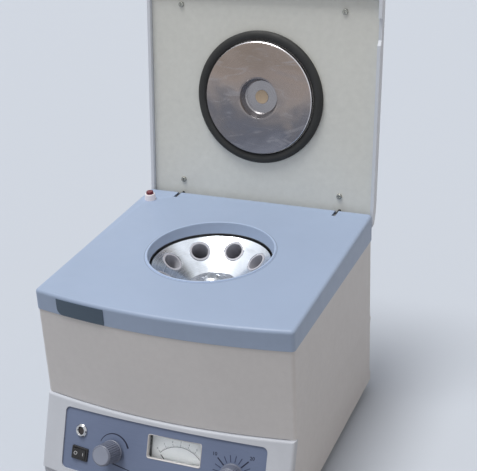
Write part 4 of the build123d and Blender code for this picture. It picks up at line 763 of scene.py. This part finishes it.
# %% [markdown]
# ## The arc over the speed knob
# The speed knob has no numbers: an arc that swells from slow to fast tells the hand which way to
# turn. A curve with a taper would do, but a ribbon with a width at each point can be laid on the
# bowed panel directly. A short leader line under the knob is drawn in the same way.

# %% Speed arc
KNOB_S, SPEED_X, TIMER_X = 43.0, -54.5, 85.4
ARC_RADIUS, ARC_HALF_SWEEP, ARC_STEPS = 18.8, 70, 48
ARC_WIDTH, ARC_SWELL, ARC_CURVE = 0.7, 1.5, 1.4
LEADER_START, LEADER_STEP, LEADER_STEPS = (-58.0, 57.2), (1.6, 0.22), 16
LEADER_WIDTH, LEADER_TAPER = 1.7, 0.9
ink = moulded("dark_print", seen(32, 37, 58), 0.6, 1500, 0.001, 0.05)
faint_ink = moulded("faint_print", seen(58, 66, 92), 0.6, 1500, 0.001, 0.05)


def draw_speed_scale():
    """A swelling arc over the speed knob, thin at the slow end, and a leader line below it."""
    marks = Shape()
    sweep = arc((SPEED_X, KNOB_S), ARC_RADIUS, -ARC_HALF_SWEEP, ARC_HALF_SWEEP, ARC_STEPS)
    swelling = [ARC_WIDTH + ARC_SWELL * (i / ARC_STEPS) ** ARC_CURVE for i in range(ARC_STEPS + 1)]
    marks.ribbon(sweep, swelling, on_overlay)
    (x, s), (across, down), along = LEADER_START, LEADER_STEP, range(LEADER_STEPS + 1)
    leader = [(x + across * i, s + down * i) for i in along]
    tapering = [LEADER_WIDTH - LEADER_TAPER * i / LEADER_STEPS for i in along]
    marks.ribbon(leader, tapering, on_overlay)
    piece_from("speed_scale", marks.points, marks.faces, ink, "case")


draw_speed_scale()
print("arc drawn over the speed knob at", [round(v, 4) for v in on_overlay(SPEED_X, KNOB_S)])

# %% [markdown]
# ## The minutes round the timer knob
# The timer turns through 270 degrees for thirty minutes, so each minute is nine degrees. Long
# marks and numbers stand at each ten and four shorter, paler marks between them. They could be
# one image wrapped on the panel. Placing each mark by its angle keeps the scale true to the knob.

# %% Timer scale
TIMER_START, DEGREES_PER_MINUTE, LAST_MINUTE = -135, 9, 30
LONG_MARK, SHORT_MARK = (13.4, 24.0, 1.4), (14.2, 21.6, 0.9)
NUMBER_RADIUS, NUMBER_SIZE, NUMBER_WEIGHT = 29.0, 5.4, 0.09
timer_middle = (TIMER_X, KNOB_S)


def draw_timer_scale():
    """Minutes round the timer knob: long marks at each ten, four short ones between."""
    strong, faint = Shape(), Shape()
    for minute in range(0, LAST_MINUTE + 1, 2):
        turn = TIMER_START + minute * DEGREES_PER_MINUTE
        at_ten = minute % 10 == 0
        inner, outer, width = LONG_MARK if at_ten else SHORT_MARK
        target = strong if at_ten else faint
        radii = [inner + (outer - inner) * i / 4 for i in range(5)]
        mark = [arc(timer_middle, radius, turn, turn, 1)[0] for radius in radii]
        target.ribbon(mark, [width] * len(mark), on_overlay)
        if at_ten:
            place = arc(timer_middle, NUMBER_RADIUS, turn, turn, 1)[0]
            strong.letters(str(minute), NUMBER_SIZE, place, on_overlay, NUMBER_WEIGHT)
    piece_from("timer_scale_tens", strong.points, strong.faces, ink, "case")
    piece_from("timer_scale_minutes", faint.points, faint.faces, faint_ink, "case")


draw_timer_scale()
print("timer scale drawn to", LAST_MINUTE, "minutes")

# %% [markdown]
# ## The scale of the speed meter
# Behind the window sits a white card with a curved scale and a black pointer. The pointer turns
# on its own pin, so the scale is an arc round that pin, with a longer tick and a number at every
# fifth division. The card is flat where the overlay is bowed, so it has a surface of its own: the
# overlay's frame at one point, moved down to the card.

# %% Meter scale
METER_X, METER_S, PIVOT_S, CARD_DEPTH = 20.8, 28.0, 59.1, 12.5
SCALE_RADIUS, SCALE_START, SCALE_DIVISIONS, DIVISION_TURN = 32.7, -45, 30, 3
LINE_FIRST, LINE_LAST, LINE_STEPS, LINE_WIDTH = -46, 50, 48, 0.45
LONG_TICK, SHORT_TICK = (3.4, 0.36), (1.8, 0.22)
FIGURE_RISE, FIGURE_SIZE = 5.6, 2.9
meter_pivot = (METER_X, PIVOT_S)


def on_card(x, s, lift=0.0):
    """A point in metres on the flat meter card, lift mm above it."""
    point, across, up, out = console_frame(METER_X, METER_S)
    return (point + across * (x - METER_X) - up * (s - METER_S) + out * (lift - CARD_DEPTH)) * MM


def draw_meter_scale():
    """The curved line, its ticks, and a number from 0 to 6 at every fifth tick."""
    scale = Shape()
    line = arc(meter_pivot, SCALE_RADIUS, LINE_FIRST, LINE_LAST, LINE_STEPS)
    scale.ribbon(line, [LINE_WIDTH] * len(line), on_card)
    for step in range(SCALE_DIVISIONS + 1):
        turn = SCALE_START + step * DIVISION_TURN
        reach, width = LONG_TICK if step % 5 == 0 else SHORT_TICK
        radii = [SCALE_RADIUS + reach * i / 2 for i in range(3)]
        tick = [arc(meter_pivot, radius, turn, turn, 1)[0] for radius in radii]
        scale.ribbon(tick, [width] * len(tick), on_card)
    for step in range(0, SCALE_DIVISIONS + 1, 5):
        turn = SCALE_START + step * DIVISION_TURN
        place = arc(meter_pivot, SCALE_RADIUS + FIGURE_RISE, turn, turn, 1)[0]
        scale.letters(str(step // 5), FIGURE_SIZE, place, on_card)
    piece_from("meter_scale", scale.points, scale.faces, ink, "case")


draw_meter_scale()
print("card middle", [round(v, 4) for v in on_card(METER_X, METER_S)])

# %% [markdown]
# ## The cover over the pointer's pin
# A half-round white moulding hides the pin that the pointer turns on. It could be a bevelled
# cylinder cut in half. Two stacked half discs, the upper one a little smaller, give the same
# step at the rim with a handful of faces, and stand on the card's own surface.

# %% Pin cover
def make_needle_tab():
    """The half-round cover over the needle's bearing, standing on the card."""
    tab = Shape()
    for radius, foot, top in ((9.6, 0.0, 0.9), (8.8, 0.9, 1.4)):
        rim = arc(meter_pivot, radius, -90, 90, 32)
        tab.strip([[on_card(x, s, lift) for x, s in rim] for lift in (foot, top)])
    piece_from("needle_cover", tab.points, tab.faces, card_white, "case")


make_needle_tab()
print("pin covered at", [round(v, 4) for v in on_card(*meter_pivot)])

# %% [markdown]
# ## The lip of the window
# The window's cut edge shows as a pale rolled rim, painted like the body. It could be a curve
# with a bevel, but the rim has to follow the bowed overlay. So its section is carried round a
# rectangle with round corners, and each point of it is laid on the overlay by itself.

# %% Window lip
WINDOW_X, WINDOW_WIDTH, WINDOW_HEIGHT, WINDOW_CORNER = 18.2, 63.4, 26.8, 2.4
LIP_SECTION = ((0.0, 0.25), (0.35, 0.35), (0.8, 0.0), (0.8, -4.6), (0.0, -4.6))


def rounded_frame(width, height, radius, steps=6):
    """Corner-rounded rectangle points (u, v) around the origin."""
    loop = []
    for sx, sv, start in ((1, -1, 0), (1, 1, 90), (-1, 1, 180), (-1, -1, 270)):
        cu, cv = sx * (width / 2 - radius), sv * (height / 2 - radius)
        for i in range(steps + 1):
            t = math.radians(start + 90 * i / steps)
            loop.append((cu + radius * math.sin(t), cv - radius * math.cos(t)))
    return loop


def make_window_lip():
    """A thin rolled rim. The section's points are inset and lift, in mm."""
    lip = Shape()
    outer = rounded_frame(WINDOW_WIDTH, WINDOW_HEIGHT, WINDOW_CORNER)
    rows = []
    for u, v in outer + outer[:1]:
        row = []
        for inset, lift in LIP_SECTION:
            x = WINDOW_X + u - math.copysign(min(inset, abs(u)), u)
            s = METER_S + v - math.copysign(min(inset, abs(v)), v)
            row.append(on_overlay(x, s, lift))
        rows.append(row)
    lip.strip(rows)
    piece_from("window_lip", lip.points, lip.faces, body_paint, "case", smooth=True)


make_window_lip()
print("window lip", WINDOW_WIDTH, "by", WINDOW_HEIGHT, "mm")

# %% [markdown]
# ## Marks on the rocker
# The rocker carries a white ring at its off end and a white bar at its on end, filled with
# paint. They could be painted by a mask in the plastic's nodes, but thin solids stay crisp. The
# key is tipped to one side at rest, so the marks are laid on its tipped faces, and they ride on
# the rocker's body so that they tip with it.

# %% Rocker marks
ROCKER_X, ROCKER_S, ROCKER_TILT = -98.0, 57.0, math.radians(8)
KEY_HALF, KEY_PEAK, KEY_DIP = 7.9, 3.6, 2.3
MARK_FROM_MIDDLE, RING_RADIUS, BAR_LENGTH = 4.6, 1.7, 3.6
RING_WIDTH, BAR_WIDTH = 0.55, 0.6
white_fill = moulded("white_fill", seen(225, 226, 228), 0.5, 1500, 0.001, 0.03)


def on_rocker(u, v, lift=0.0):
    """A point in metres on the rocker's V-shaped face, u mm along it and v mm down the slope."""
    height = KEY_DIP + (KEY_PEAK - KEY_DIP) * abs(u) / KEY_HALF + lift
    tipped_u = u * math.cos(ROCKER_TILT) + height * math.sin(ROCKER_TILT)
    tipped_height = height * math.cos(ROCKER_TILT) - u * math.sin(ROCKER_TILT)
    point, across, up, out = console_frame(ROCKER_X, ROCKER_S)
    return (point + across * tipped_u - up * v + out * tipped_height) * MM


def draw_rocker_marks():
    marks = Shape()
    ring = arc((-MARK_FROM_MIDDLE, 0), RING_RADIUS, 0, 360, 32)
    marks.ribbon(ring, [RING_WIDTH] * len(ring), on_rocker)
    bar = [(MARK_FROM_MIDDLE, BAR_LENGTH * (i / 4 - 0.5)) for i in range(5)]
    marks.ribbon(bar, [BAR_WIDTH] * len(bar), on_rocker)
    piece_from("rocker_marks", marks.points, marks.faces, white_fill, "rocker")


draw_rocker_marks()
print("rocker marked")
